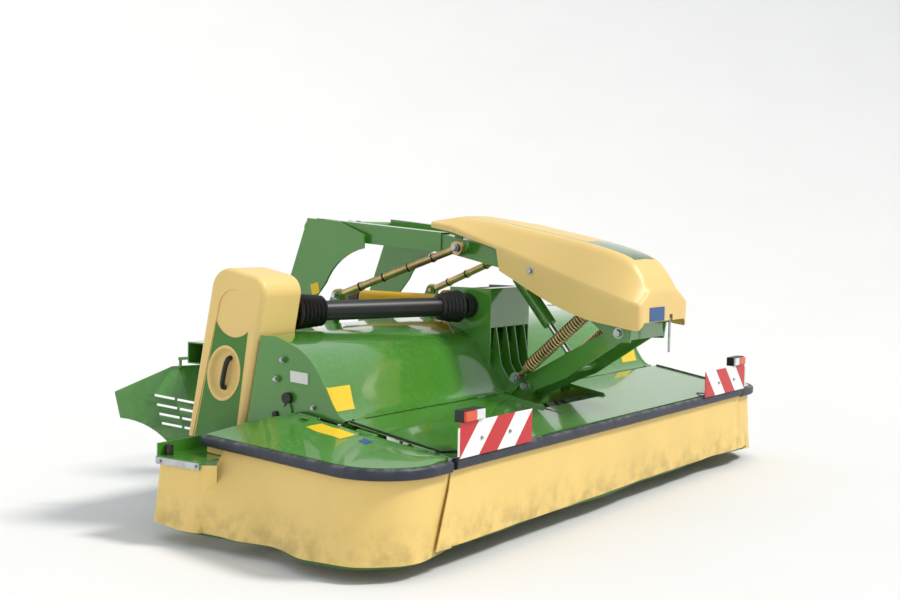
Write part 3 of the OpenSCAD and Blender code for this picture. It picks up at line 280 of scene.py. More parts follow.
@dataclass(frozen=True)
class Moulded:
    """Satin plastic or resin with a fine grain."""

    name: str
    colour: tuple[int, int, int]
    roughness: float = 0.42
    grain: float = 0.12
    soil: float = 0.12

    def build(self) -> bpy.types.Material:
        """Makes the material."""
        s = Shader(self.name)
        base = tint(*self.colour)
        worn = tint(*(int(c * 0.9) for c in self.colour))
        low = s.band(s.axis("Z"), 0.75, 0.3, self.soil)
        soil = s.math("MULTIPLY", low, s.band(s.noise(9.0, 5.0), 0.4, 0.75, 1.0))
        colour = s.mix(soil, s.mix(s.noise(1.7, 2.0), base, worn), tint(150, 128, 84))
        return s.finish(Base_Color=colour, Roughness=self.roughness, Specular_IOR_Level=0.45,
                        Normal=s.bump(s.noise(900.0, 1.0), self.grain, 0.0004))


@dataclass(frozen=True)
class Tarpaulin:
    """Coated cloth with a weave, soil towards the ground and a coloured hem line."""

    name: str
    colour: tuple[int, int, int]
    hem_z: float
    hem_line: float = 0.007

    def build(self) -> bpy.types.Material:
        """Makes the material."""
        s = Shader(self.name)
        height = s.axis("Z")
        blotch = s.noise(3.2, 4.0)
        base = s.mix(blotch, tint(*self.colour), tint(*(int(c * 0.93) for c in self.colour)))
        near = s.band(height, self.hem_z + 0.2, self.hem_z - 0.01)
        soil = s.math("MULTIPLY", near, s.band(s.noise(14.0, 6.0), 0.36, 0.72, 0.5))
        stained = s.mix(soil, base, tint(138, 122, 72))
        line = s.math("LESS_THAN", height, self.hem_z + self.hem_line)
        colour = s.mix(line, stained, tint(52, 92, 36))
        seam = s.band(s.math("ABSOLUTE", s.math("SUBTRACT", height, self.hem_z + 0.034)), 0.0022, 0.0)
        weave = s.math("ADD", s.noise(650.0, 1.0), s.math("MULTIPLY", seam, -3.0))
        soft = s.bump(s.noise(6.0, 2.0), 0.25, 0.01)
        return s.finish(Base_Color=colour, Roughness=0.5, Specular_IOR_Level=0.4,
                        Normal=s.bump(weave, 0.14, 0.0006, soft))


@dataclass(frozen=True)
class Rubber:
    """Dull rubber with a bloom of dust."""

    name: str
    colour: tuple[int, int, int]
    # Dull rubber with a bloom of dust and a painted highlight, both lightening the faces that look up.

    def build(self) -> bpy.types.Material:
        """Makes the material."""
        s = Shader(self.name)
        # Painted highlight and dust: faces that look up are lightened towards grey in noisy patches, standing
        # in for the lit top of the rubber as well as dust.
        dust_and_highlight = s.math("MULTIPLY", s.band(s.noise(22.0, 6.0), 0.35, 0.7), s.band(s.up(), -0.2, 1.0, 0.5))
        colour = s.mix(dust_and_highlight, tint(*self.colour), tint(132, 134, 138))
        return s.finish(Base_Color=colour, Roughness=0.48, Specular_IOR_Level=0.45,
                        Normal=s.bump(s.noise(260.0, 2.0), 0.12, 0.0008))


class Plating(Enum):
    """Metal surfaces: the main colour, the second one, roughness and metalness."""

    PASSIVATED = ((206, 178, 122), (178, 156, 116), 0.3, 1.0)
    ZINC = ((196, 198, 200), (160, 164, 170), 0.34, 1.0)
    WORN = ((120, 116, 110), (92, 78, 64), 0.5, 0.85)
    CHROME = ((226, 228, 232), (214, 216, 220), 0.08, 1.0)
    CAST = ((74, 76, 80), (60, 60, 62), 0.55, 0.4)


@dataclass(frozen=True)
class Metal:
    """Bare or plated metal with a second colour in clouds."""

    name: str
    plating: Plating

    def build(self) -> bpy.types.Material:
        """Makes the material."""
        first, second, rough, metal = self.plating.value
        s = Shader(self.name)
        clouds = s.band(s.noise(16.0, 4.0), 0.35, 0.68)
        colour = s.mix(clouds, tint(*first), tint(*second))
        roughness = s.math("ADD", s.math("MULTIPLY", s.noise(60.0, 3.0), 0.16), rough - 0.06)
        return s.finish(Base_Color=colour, Metallic=metal, Roughness=roughness,
                        Normal=s.bump(s.noise(240.0, 2.0), 0.06, 0.0005))


@dataclass(frozen=True)
class Sheeting:
    """Reflective sheeting in red and white bars that rise towards the machine's middle."""

    name: str
    start: float
    bar: float

    def build(self) -> bpy.types.Material:
        """Makes the material."""
        s = Shader(self.name)
        along = s.math("ADD", s.math("ABSOLUTE", s.axis("X")), s.axis("Z"))
        step = s.math("FLOOR", s.math("DIVIDE", s.math("SUBTRACT", along, self.start), self.bar))
        white = s.math("GREATER_THAN", s.math("MODULO", step, 2.0), 0.5)
        colour = s.mix(white, tint(190, 14, 24), tint(232, 232, 232))
        cells = s.add("ShaderNodeTexVoronoi", {"Vector": s.coords, "Scale": 330.0}).outputs["Distance"]
        return s.finish(Base_Color=colour, Roughness=0.45, Coat_Weight=0.2, Coat_Roughness=0.3,
                        Normal=s.bump(cells, 0.05, 0.0005))


@dataclass(frozen=True)
class Lens:
    """Coloured clear plastic over a ribbed back."""

    name: str
    colour: tuple[int, int, int]

    def build(self) -> bpy.types.Material:
        """Makes the material."""
        s = Shader(self.name)
        ribs = s.math("SINE", s.math("MULTIPLY", s.axis("X"), 900.0))
        return s.finish(Base_Color=tint(*self.colour), Roughness=0.25, Coat_Weight=0.3,
                        Normal=s.bump(ribs, 0.25, 0.001))


@dataclass(frozen=True)
class Studio:
    """Pale paper of the floor and backdrop."""

    name: str

    def build(self) -> bpy.types.Material:
        """Makes the material."""
        s = Shader(self.name)
        colour = s.mix(s.noise(0.8, 3.0), tint(226, 226, 224), tint(221, 221, 219))
        return s.finish(Base_Color=colour, Roughness=0.9)


class Paints:
    """Every finish of the machine, each made once."""

    def __init__(self) -> None:
        """Builds all materials."""
        self.green = Enamel("green_enamel", (70, 136, 44)).build()
        self.dark_green = Enamel("dark_green_enamel", (58, 112, 44), dust=0.03).build()
        self.panel_green = Moulded("panel_green", (62, 124, 38), roughness=0.36).build()
        self.cream = Moulded("cream_resin", (238, 205, 128)).build()
        self.cloth = Tarpaulin("front_cloth", (236, 203, 122), 0.088).build()
        self.side_cloth = Tarpaulin("side_cloth", (236, 203, 122), 0.06).build()
        self.rubber = Rubber("edge_rubber", (38, 43, 56)).build()
        self.black = Moulded("black_plastic", (26, 27, 29), roughness=0.4).build()
        self.yellow = Moulded("yellow_plastic", (232, 178, 22), roughness=0.35).build()
        self.gold = Metal("passivated_zinc", Plating.PASSIVATED).build()
        self.zinc = Metal("bright_zinc", Plating.ZINC).build()
        self.worn = Metal("worn_steel", Plating.WORN).build()
        self.chrome = Metal("chromed_steel", Plating.CHROME).build()
        self.cast = Metal("cast_iron", Plating.CAST).build()
        self.stripes = Sheeting("striped_sheeting", 1.382, 0.141).build()
        self.white = Moulded("white_plate", (226, 226, 220), roughness=0.35, soil=0.0).build()
        self.plate_yellow = Moulded("yellow_plate", (240, 204, 34), roughness=0.45, soil=0.0).build()
        self.plate_blue = Moulded("blue_plate", (38, 84, 140), roughness=0.35, soil=0.0).build()
        self.amber = Lens("amber_lens", (214, 70, 4)).build()
        self.clear = Lens("clear_lens", (214, 218, 220)).build()
        self.studio = Studio("studio_paper").build()


# ------------------------------------------------------------------------ mesh making


class Workshop:
    """Makes plain meshes, dresses them and hands them to the frame's bodies."""

    def __init__(self, frame: dict, paints: Paints) -> None:
        """Keeps the frame and the finishes.

        Args:
            paints: The finishes.
        """
        self.nodes = frame["nodes"]
        self.paints = paints
        self.slots = {part["node"]: part.get("material_slot") for part in frame["record"]["subparts"]}

    def link(self, name: str, mesh: bpy.types.Mesh) -> bpy.types.Object:
        """Puts a mesh into the scene under a name."""
        made = bpy.data.objects.new(name, mesh)
        bpy.context.scene.collection.objects.link(made)
        return made

    def from_faces(self, name: str, points: Sequence, faces: Sequence, *materials) -> bpy.types.Object:
        """A mesh from points and faces, its doubles merged and its faces turned outward."""
        mesh = bpy.data.meshes.new(name)
        mesh.from_pydata([tuple(p) for p in points], [], [tuple(f) for f in faces])
        close_up(mesh)
        for material in materials:
            mesh.materials.append(material)
        return self.link(name, mesh)

    def prism(self, name: str, outline: Sequence[Flat], place: Callable, depth: tuple, *materials):
        """An outline drawn out between two depths; `place` turns (a, b, depth) into a point."""
        count = len(outline)
        points = [place(a, b, d) for d in depth for a, b in outline]
        faces = [list(range(count)), list(range(count, 2 * count))]
        faces += [[i, (i + 1) % count, (i + 1) % count + count, i + count] for i in range(count)]
        return self.from_faces(name, points, faces, *materials)

    def grid(self, name: str, rows: Sequence[Sequence], thickness: float, *materials, closed=False):
        """A skin over rows of points, thickened by a solidify step."""
        wide = len(rows[0])
        points = [p for row in rows for p in row]
        made = self.from_faces(name, points, quads(len(rows), wide, closed), *materials)
        if thickness:
            solid = made.modifiers.new("thick", "SOLIDIFY")
            solid.thickness = thickness
            solid.offset = 0.0
            self.bake(made)
        return made

    def bake(self, made: bpy.types.Object) -> bpy.types.Object:
        """Applies every modifier, so that a plain mesh stays."""
        depsgraph = bpy.context.evaluated_depsgraph_get()
        mesh = bpy.data.meshes.new_from_object(made.evaluated_get(depsgraph), depsgraph=depsgraph)
        made.modifiers.clear()
        made.data = mesh
        return made

    def soften(self, made: bpy.types.Object, width: float, segments: int = 2,
               angle: float = 32.0) -> bpy.types.Object:
        """Rounds sharp edges and shades the faces smooth."""
        if width > 0:
            bevel = made.modifiers.new("round", "BEVEL")
            bevel.width = width
            bevel.segments = segments
            bevel.limit_method = "ANGLE"
            bevel.angle_limit = math.radians(angle)
            bevel.use_clamp_overlap = True
            self.bake(made)
        shade(made.data, 38)
        weigh = made.modifiers.new("even", "WEIGHTED_NORMAL")
        weigh.keep_sharp = True
        return self.bake(made)

    def cut(self, made: bpy.types.Object, *tools: bpy.types.Object) -> bpy.types.Object:
        """Cuts tools out of a piece and removes them."""
        for tool in tools:
            step = made.modifiers.new("cut", "BOOLEAN")
            step.operation = "DIFFERENCE"
            step.solver = "EXACT"
            step.object = tool
            self.bake(made)
            bpy.data.objects.remove(tool)
        return made

    def ride(self, made: bpy.types.Object, body: str, slot: str | None = None,
             replaces: Iterable[str] = ()) -> bpy.types.Object:
        """Hands a piece to a body, with the CAD nodes that it stands for."""
        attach(made, body)
        for node in replaces:
            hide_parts(node)
        LOG.info("%s rides on %s", made.name, body)
        return made

    def plate_on(self, name: str, corners: Sequence[Vector], node: str, outward: Point,
                 material: bpy.types.Material) -> bpy.types.Object:
        """A thin blank plate laid on a CAD node's surface.

        Args:
            name: The piece's name.
            corners: Its four corners in order, near the surface.
            node: The node it lies on.
            outward: Direction away from the surface.
            material: Its finish.

        Returns:
            The plate, riding on the node's body.
        """
        work = bmesh.new()
        work.from_mesh(self.nodes[node].data)
        tree = BVHTree.FromBMesh(work)
        work.free()
        way = Vector(outward).normalized()
        rows = []
        for j in range(PLATE_ROWS + 1):
            left = corners[0].lerp(corners[3], j / PLATE_ROWS)
            right = corners[1].lerp(corners[2], j / PLATE_ROWS)
            row = []
            for i in range(PLATE_COLUMNS + 1):
                place = left.lerp(right, i / PLATE_COLUMNS)
                hit, normal, _, _ = tree.ray_cast(place + way * PLATE_REACH, -way)
                row.append(hit + normal * PLATE_LIFT if hit else place)
            rows.append(row)
        made = self.soften(self.grid(name, rows, PLATE_THICK, material), 0.0)
        return self.ride(made, self.nodes[node]["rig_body"])

    def copy(self, node: str, material: bpy.types.Material, width: float) -> bpy.types.Object:
        """A merged and softened copy of a CAD node, shown in its place."""
        mesh = bpy.data.meshes.new("soft_" + node)
        close_up(mesh, self.nodes[node].data, CAD_MERGE, CAD_FLAT)
        mesh.materials.append(material)
        made = self.soften(self.link("soft_" + node, mesh), width)
        return self.ride(made, self.nodes[node]["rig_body"], self.slots[node], [node])


class NodeTree:
    """A geometry node tree built in the script and run once on a mesh of its own."""

    def __init__(self, shop: Workshop, name: str) -> None:
        """Starts a tree.

        Args:
            shop: Where the finished mesh goes.
            name: Name of the tree and of the piece.
        """
        self.shop = shop
        self.name = name
        self.tree = bpy.data.node_groups.new(name, "GeometryNodeTree")
        self.tree.interface.new_socket("Geometry", in_out="INPUT", socket_type="NodeSocketGeometry")
        self.tree.interface.new_socket("Geometry", in_out="OUTPUT", socket_type="NodeSocketGeometry")
        self.source = self.tree.nodes.new("NodeGroupInput")
        self.sink = self.tree.nodes.new("NodeGroupOutput")
        self.values: dict[str, float | int] = {}

    def value(self, name: str, number: float | int):
        """A named input of the tree with its number."""
        kind = "NodeSocketInt" if isinstance(number, int) else "NodeSocketFloat"
        item = self.tree.interface.new_socket(name, in_out="INPUT", socket_type=kind)
        self.values[item.identifier] = number
        return self.source.outputs[name]

    def add(self, kind: str, values: dict | None = None, **settings) -> bpy.types.Node:
        """Adds a node; inputs are given by name or number, as constants or sockets."""
        return add_node(self.tree, kind, values, settings)

    def times(self, first, second: float | bpy.types.NodeSocket):
        """A product."""
        return self.add("ShaderNodeMath", {0: first, 1: second}, operation="MULTIPLY").outputs[0]

    def field(self, name: str, kind: str):
        """A named attribute of the source mesh."""
        node = self.add("GeometryNodeInputNamedAttribute", {"Name": name}, data_type=kind)
        return node.outputs["Attribute"]

    def line(self):
        """The source mesh as a curve."""
        return self.add("GeometryNodeMeshToCurve", {0: self.source.outputs[0]}).outputs[0]

    def circle(self, sides: int, radius: float | bpy.types.NodeSocket):
        """A round section."""
        return self.add("GeometryNodeCurvePrimitiveCircle", {"Resolution": sides, "Radius": radius}).outputs[0]

    def sweep(self, line, section, caps: bool = True):
        """A section drawn along a curve."""
        values = {"Curve": line, "Profile Curve": section, "Fill Caps": caps}
        return self.add("GeometryNodeCurveToMesh", values).outputs[0]

    def run(self, geometry, material: bpy.types.Material, source: bpy.types.Mesh) -> bpy.types.Object:
        """Realizes the geometry with a material and returns it as a plain mesh."""
        real = self.add("GeometryNodeRealizeInstances", {0: geometry})
        coat = self.add("GeometryNodeSetMaterial", {"Geometry": real.outputs[0], "Material": material})
        self.tree.links.new(coat.outputs[0], self.sink.inputs[0])
        made = self.shop.link(self.name, source)
        step = made.modifiers.new(self.name, "NODES")
        step.node_group = self.tree
        for identifier, number in self.values.items():
            step[identifier] = number
        self.shop.bake(made)
        close_up(made.data)
        if not made.data.materials:
            made.data.materials.append(material)
        shade(made.data, 40)
        return made


def path_mesh(name: str, points: Sequence) -> bpy.types.Mesh:
    """A mesh of one line of points, as the path of a sweep."""
    mesh = bpy.data.meshes.new(name)
    mesh.from_pydata([tuple(p) for p in points], [(i, i + 1) for i in range(len(points) - 1)], [])
    return mesh


def rods_mesh(name: str, pairs: Sequence[tuple[Vector, Vector]]) -> bpy.types.Mesh:
    """A mesh of separate straight lines."""
    mesh = bpy.data.meshes.new(name)
    mesh.from_pydata([tuple(p) for pair in pairs for p in pair],
                     [(2 * i, 2 * i + 1) for i in range(len(pairs))], [])
    return mesh


def aimed_points(name: str, spots: Sequence[tuple[Vector, Vector]]) -> bpy.types.Mesh:
    """A mesh of loose points, each with the direction it faces in the attribute `aim`."""
    mesh = bpy.data.meshes.new(name)
    mesh.from_pydata([tuple(place) for place, _ in spots], [], [])
    aim = mesh.attributes.new("aim", "FLOAT_VECTOR", "POINT")
    for item, (_, way) in zip(aim.data, spots):
        item.vector = way
    return mesh


class Repeats:
    """Pieces that repeat or follow a path: bolts, tubes, strips, coils and chains."""

    def __init__(self, shop: Workshop) -> None:
        """Keeps the workshop the pieces go to."""
        self.shop = shop

    def bolts(self, name: str, spots: Sequence[tuple[Vector, Vector]], radius: float,
              material: bpy.types.Material, washer: float = 1.35, sides: int = 6) -> bpy.types.Object:
        """Hexagon heads on washers at a list of places, each along its aim."""
        g = NodeTree(self.shop, name)
        size = g.value("Head radius", radius)
        spread = g.value("Washer factor", washer)
        tall = g.times(size, 0.72)
        lift = g.add("ShaderNodeCombineXYZ", {2: g.times(tall, 0.62)}).outputs[0]
        head = g.add("GeometryNodeMeshCone", {"Vertices": sides, "Radius Top": g.times(size, 0.88),
                                              "Radius Bottom": size, "Depth": tall})
        raised = g.add("GeometryNodeTransform", {"Geometry": head.outputs[0], "Translation": lift}).outputs[0]
        plate = g.add("GeometryNodeMeshCylinder", {"Vertices": 20, "Radius": g.times(size, spread),
                                                   "Depth": g.times(size, 0.2)}).outputs[0]
        both = g.add("GeometryNodeJoinGeometry", {0: raised})
        g.tree.links.new(plate, both.inputs[0])
        aim = {"Vector": g.field("aim", "FLOAT_VECTOR")}
        turn = g.add("FunctionNodeAlignRotationToVector", aim, axis="Z").outputs[0]
        place = {"Points": g.source.outputs[0], "Instance": both.outputs[0], "Rotation": turn}
        put = g.add("GeometryNodeInstanceOnPoints", place)
        return g.run(put.outputs[0], material, aimed_points(name, spots))

    def rods(self, name: str, pairs: Sequence[tuple[Vector, Vector]], radius: float,
             material: bpy.types.Material, sides: int = 24) -> bpy.types.Object:
        """Round bars between pairs of points."""
        g = NodeTree(self.shop, name)
        line = g.line()
        skin = g.sweep(line, g.circle(sides, g.value("Bar radius", radius)))
        return g.run(skin, material, rods_mesh(name, pairs))

    def tube(self, name: str, points: Sequence, radius: float, material: bpy.types.Material,
             fillet: float = 0.0) -> bpy.types.Object:
        """A round tube along a line of points, its bends rounded by a fillet."""
        g = NodeTree(self.shop, name)
        line = g.line()
        if fillet:
            bend = {"Curve": line, "Count": 6, "Limit Radius": True, "Radius": g.value("Bend radius", fillet)}
            line = g.add("GeometryNodeFilletCurve", bend, mode="POLY").outputs[0]
        skin = g.sweep(line, g.circle(14, g.value("Tube radius", radius)))
        return g.run(skin, material, path_mesh(name, points))

    def strip(self, name: str, points: Sequence, size: Flat, corner: float,
              material: bpy.types.Material) -> bpy.types.Object:
        """A strip with a rounded section along a line of points.

        Args:
            name: The piece's name.
            points: The line through the section's middle.
            size: Width across the line and height of the section.
            corner: Radius of the section's corners.
            material: Its finish.

        Returns:
            The strip as a plain mesh.
        """
        g = NodeTree(self.shop, name)
        line = g.line()
        level = g.add("GeometryNodeSetCurveNormal", {"Curve": line}, mode="Z_UP").outputs[0]
        box = g.add("GeometryNodeCurvePrimitiveQuadrilateral", {"Width": g.value("Section width", size[0]),
                                                                "Height": g.value("Section height", size[1])})
        bend = {"Curve": box.outputs[0], "Count": 4, "Limit Radius": True,
                "Radius": g.value("Corner radius", corner)}
        soft = g.add("GeometryNodeFilletCurve", bend, mode="POLY")
        return g.run(g.sweep(level, soft.outputs[0]), material, path_mesh(name, points))

    def coil(self, name: str, start: Vector, end: Vector, radius: float, wire: float, turns: float,
             material: bpy.types.Material) -> bpy.types.Object:
        """A coil spring between two points."""
        g = NodeTree(self.shop, name)
        length = (end - start).length
        spiral = g.add("GeometryNodeCurveSpiral", {"Resolution": 22, "Rotations": turns, "Reverse": False})
        for socket, number in (("Start Radius", radius), ("End Radius", radius), ("Height", length)):
            g.tree.links.new(g.value(socket, number), spiral.inputs[socket])
        ring = g.circle(9, g.value("Wire radius", wire))
        skin = g.sweep(spiral.outputs[0], ring)
        turn = (end - start).to_track_quat("Z", "X").to_euler()
        put = g.add("GeometryNodeTransform", {"Geometry": skin, "Translation": start, "Rotation": turn})
        return g.run(put.outputs[0], material, path_mesh(name, [start, end]))

    def chain(self, name: str, points: Sequence, link: float, wire: float,
              material: bpy.types.Material) -> bpy.types.Object:
        """A chain of oval links along a line of points."""
        g = NodeTree(self.shop, name)
        line = g.line()
        spread = g.value("Link pitch", link)
        marks = g.add("GeometryNodeCurveToPoints", {"Curve": line, "Length": spread}, mode="LENGTH")
        oval = g.circle(14, link * 0.42)
        long = g.add("GeometryNodeTransform", {"Geometry": oval, "Scale": (0.62, 1.55, 1.0)}).outputs[0]
        skin = g.sweep(long, g.circle(8, g.value("Wire radius", wire)), caps=False)
        index = g.add("GeometryNodeInputIndex").outputs[0]
        odd = g.add("ShaderNodeMath", {0: index, 1: 2.0}, operation="MODULO").outputs[0]
        turn = {"Axis": (0, 1, 0), "Angle": g.times(odd, math.pi / 2)}
        spin = g.add("FunctionNodeAxisAngleToRotation", turn).outputs[0]
        aim = {"Vector": marks.outputs["Tangent"]}
        aimed = g.add("FunctionNodeAlignRotationToVector", aim, axis="Y").outputs[0]
        spun = {"Rotation": aimed, "Rotate By": spin}
        both = g.add("FunctionNodeRotateRotation", spun, rotation_space="LOCAL").outputs[0]
        place = {"Points": marks.outputs["Points"], "Instance": skin, "Rotation": both}
        put = g.add("GeometryNodeInstanceOnPoints", place)
        return g.run(put.outputs[0], material, path_mesh(name, points))


# ---------------------------------------------------------------------- sub-assemblies


@dataclass
class Assembly:
    """What every sub-assembly works with."""

    shop: Workshop
    repeats: Repeats

    @property
    def paints(self) -> Paints:
        """The finishes."""
        return self.shop.paints


@dataclass
class PlainPieces(Assembly):
    """CAD nodes shown as softened copies, with the width of their rounded edges."""

    widths: dict[str, float] = field(default_factory=lambda: {
        "cutterbar": 0.004, "skids": 0.002, "main_frame": 0.003, "end_plates": 0.001, "hood": 0.0012,
        "rear_beam": 0.003, "gearbox_console": 0.0015, "main_gearbox": 0.008, "side_gearbox": 0.006,
        "side_rails": 0.001, "cross_shaft_guard": 0.0025, "input_guard": 0.002, "input_shaft": 0.002,
        "side_step_left": 0.001, "side_step_right": 0.001, "tine_rotor": 0.001, "front_guard": 0.001,
        "link_arms": 0.0025, "spring_rods": 0.002, "tie_struts": 0.002, "lift_barrel": 0.002,
        "lift_rod": 0.0015, "lift_arm": 0.003, "headstock": 0.002, "swath_board_left": 0.001,
        "swath_board_right": 0.001, "parking_leg_left": 0.003, "parking_leg_right": 0.003,
        "side_guard_left": 0.001, "side_guard_right": 0.001,
        "warning_boards": 0.0008, "board_lamps": 0.002, "lamp_cables": 0.0, "hood_cables": 0.0,
        "lock_lever": 0.0015})

    def finishes(self) -> dict[str, bpy.types.Material]:
        """The finish of each node that isn't green."""
        p = self.paints
        return {"skids": p.worn, "main_gearbox": p.cast, "cross_shaft_guard": p.black,
                "input_guard": p.yellow, "input_shaft": p.worn, "tine_rotor": p.worn,
                "spring_rods": p.gold, "tie_struts": p.gold,
                "lift_rod": p.chrome, "parking_leg_left": p.zinc, "parking_leg_right": p.zinc,
                "warning_boards": p.stripes, "board_lamps": p.black, "lamp_cables": p.black,
                "hood_cables": p.black, "lock_lever": p.zinc}

    def build(self) -> None:
        """Copies every node of the list, and the cutting discs."""
        special = self.finishes()
        for node, width in self.widths.items():
            if node in self.shop.nodes:
                self.shop.copy(node, special.get(node, self.paints.green), width)
        for node in sorted(n for n in self.shop.nodes if n.startswith("cutting_disc")):
            self.shop.copy(node, self.paints.worn, 0.0015)


def rounded(points: Sequence[Flat], radii: Sequence[float], steps: int = 5) -> list[Flat]:
    """An open line whose inner corners are rounded, each by its own radius; 0 keeps a corner."""
    made = [points[0]]
    for i in range(1, len(points) - 1):
        here, radius = Vector(points[i]), radii[i - 1]
        if radius <= 0:
            made.append(tuple(here))
            continue
        back, on = Vector(points[i - 1]) - here, Vector(points[i + 1]) - here
        start = here + back.normalized() * min(radius, 0.45 * back.length)
        end = here + on.normalized() * min(radius, 0.45 * on.length)
        for k in range(steps + 1):
            t = k / steps
            made.append(tuple(start * (1 - t) ** 2 + here * (2 * t * (1 - t)) + end * t ** 2))
    return made + [points[-1]]


def glide(values: Sequence[Sequence[float]], steps: int, stiff: Sequence[int] = ()) -> list[list[float]]:
    """Rows of a table with smooth rows put between them; the spans of `stiff` stay straight."""
    made, last = [], len(values) - 1
    for i in range(last):
        a, b = values[i], values[i + 1]
        before = values[i - 1] if i > 0 and i - 1 not in stiff and i not in stiff else None
        after = values[i + 2] if i + 2 <= last and i + 1 not in stiff and i not in stiff else None
        for k in range(steps):
            t = k / steps
            row = []
            for c, (p, q) in enumerate(zip(a, b)):
                m0 = (q - before[c]) / 2 if before else q - p
                m1 = (after[c] - p) / 2 if after else q - p
                row.append((2 * t ** 3 - 3 * t * t + 1) * p + (t ** 3 - 2 * t * t + t) * m0
                           + (3 * t * t - 2 * t ** 3) * q + (t ** 3 - t * t) * m1)
            made.append(row)
    return made + [list(values[last])]


@dataclass
class ArmCover(Assembly):
    """Moulded cover over the front of the lift arm, with its green band and slot."""

    pivot: Flat = (-0.045, 0.867)
    wall: float = 0.005
    nose_round: float = 0.036
    band_inset: float = 0.045
    plate: Flat = (0.16, 0.066)
    sections: tuple = (
        (1.03, 0.517, 0.18, 0.505, 0.262, 0.478, 0.262), (0.905, 0.533, 0.185, 0.485, 0.268, 0.457, 0.268),
        (0.635, 0.499, 0.182, 0.391, 0.274, 0.379, 0.274), (0.615, 0.495, 0.182, 0.385, 0.274, 0.273, 0.273),
        (0.345, 0.445, 0.174, 0.293, 0.278, 0.138, 0.275), (0.145, 0.403, 0.166, 0.225, 0.279, 0.066, 0.275),
        (-0.014, 0.352, 0.156, 0.173, 0.278, 0.038, 0.273), (-0.085, 0.288, 0.15, 0.151, 0.274, 0.026, 0.268),
        (-0.131, 0.213, 0.146, 0.141, 0.269, 0.021, 0.262))

    def section(self, row: Sequence[float], inset: float) -> tuple[list[Flat], list[int]]:
        """One section from the right lower edge over the crown to the left one.

        Args:
            row: One row of the table.
            inset: How far its points are moved inwards.

        Returns:
            The points, and for each span whether it is part of the green band.
        """
        _, top, top_half, ridge, ridge_half, low, low_half = row
        d = inset + self.wall / 2
        crown = top + 0.008 - d
        edge = max(0.02, top_half - self.band_inset)
        ease = (edge / top_half) ** 2
        half = rounded([(low_half - d, low + inset), (ridge_half - d, ridge), (top_half - 0.6 * d, top - d),
                        (edge, top - d + 0.008 * (1 - ease))], (0.016, 0.034))
        half += [(edge - 0.019, top - d + 0.008 * (1 - ease) + 0.001), (edge * 0.5, crown - 0.002)]
        band = [0] * (len(half) - 3) + [1, 2, 2]
        points = half + [(0.0, crown)] + [(-x, z) for x, z in reversed(half)]
        return points, band + band[::-1]

    def shell(self) -> bpy.types.Object:
        """The thick skin with its closed front."""
        rows = glide(self.sections, 5, stiff=(1, 2))
        end = rows[-1]
        flat = [(row, 0.0, row[0]) for row in rows]
        flat += [(end, self.nose_round * (1 - math.cos(a)), end[0] - self.nose_round * 0.4 * math.sin(a))
                 for a in (math.pi * k / 10 for k in range(1, 6))]
        lines, mark = [], []
        for row, inset, y in flat:
            line, mark = self.section(row, inset)
            lines.append([spot(x, self.pivot[0] + y, self.pivot[1] + z) for x, z in line])
        wide = len(lines[0])
        points = [p for line in lines for p in line]
        faces = quads(len(lines), wide)
        faces.append(tuple((len(lines) - 1) * wide + c for c in range(wide)))
        p = self.paints
        made = self.shop.from_faces("arm_cover_skin", points, faces, p.cream, p.dark_green)
        for r in range(len(rows) - 1):
            for c in range(wide - 1):
                ahead = rows[r][0] < 0.23
                green = -0.03 < rows[r][0] < 0.99 and (mark[c] == 1 or (mark[c] == 2 and ahead))
                made.data.polygons[r * (wide - 1) + c].material_index = 1 if green else 0
        solid = made.modifiers.new("thick", "SOLIDIFY")
        solid.thickness = self.wall
        solid.offset = 0.0
        return self.shop.bake(made)

    def block(self, x: Flat, y: Flat, z: Flat) -> bpy.types.Object:
        """A plain block between two places, to cut with."""
        outline = [(x[0], z[0]), (x[1], z[0]), (x[1], z[1]), (x[0], z[1])]
        return self.shop.prism("block", outline, lambda a, b, d: spot(a, d, b), y)

    def build(self) -> None:
        """Skin, slot, plate and bolts."""
        y, z = self.pivot
        skin = self.shell()
        slot = self.block((0.055, 0.091), (y - 0.16, y - 0.1), (z - 0.05, z + 0.086))
        self.shop.cut(skin, slot)
        self.shop.ride(self.shop.soften(skin, 0.0012, 2, 50), "lift_arm_body", "cream", ["arm_cover"])
        plate = self.block((-0.17, -0.17 + self.plate[0]), (y - 0.151, y - 0.148),
                           (z + 0.06, z + 0.06 + self.plate[1]))
        plate.name = "cover_plate"
        plate.data.materials.append(self.paints.plate_blue)
        self.shop.ride(plate, "lift_arm_body")
        spots = [(spot(side.value * 0.2785, 0.393, 1.146), Vector((side.value, 0, 0))) for side in Side]
        bolts = self.repeats.bolts("cover_bolts", spots, 0.012, self.paints.zinc, 1.6)
        self.shop.ride(bolts, "lift_arm_body")


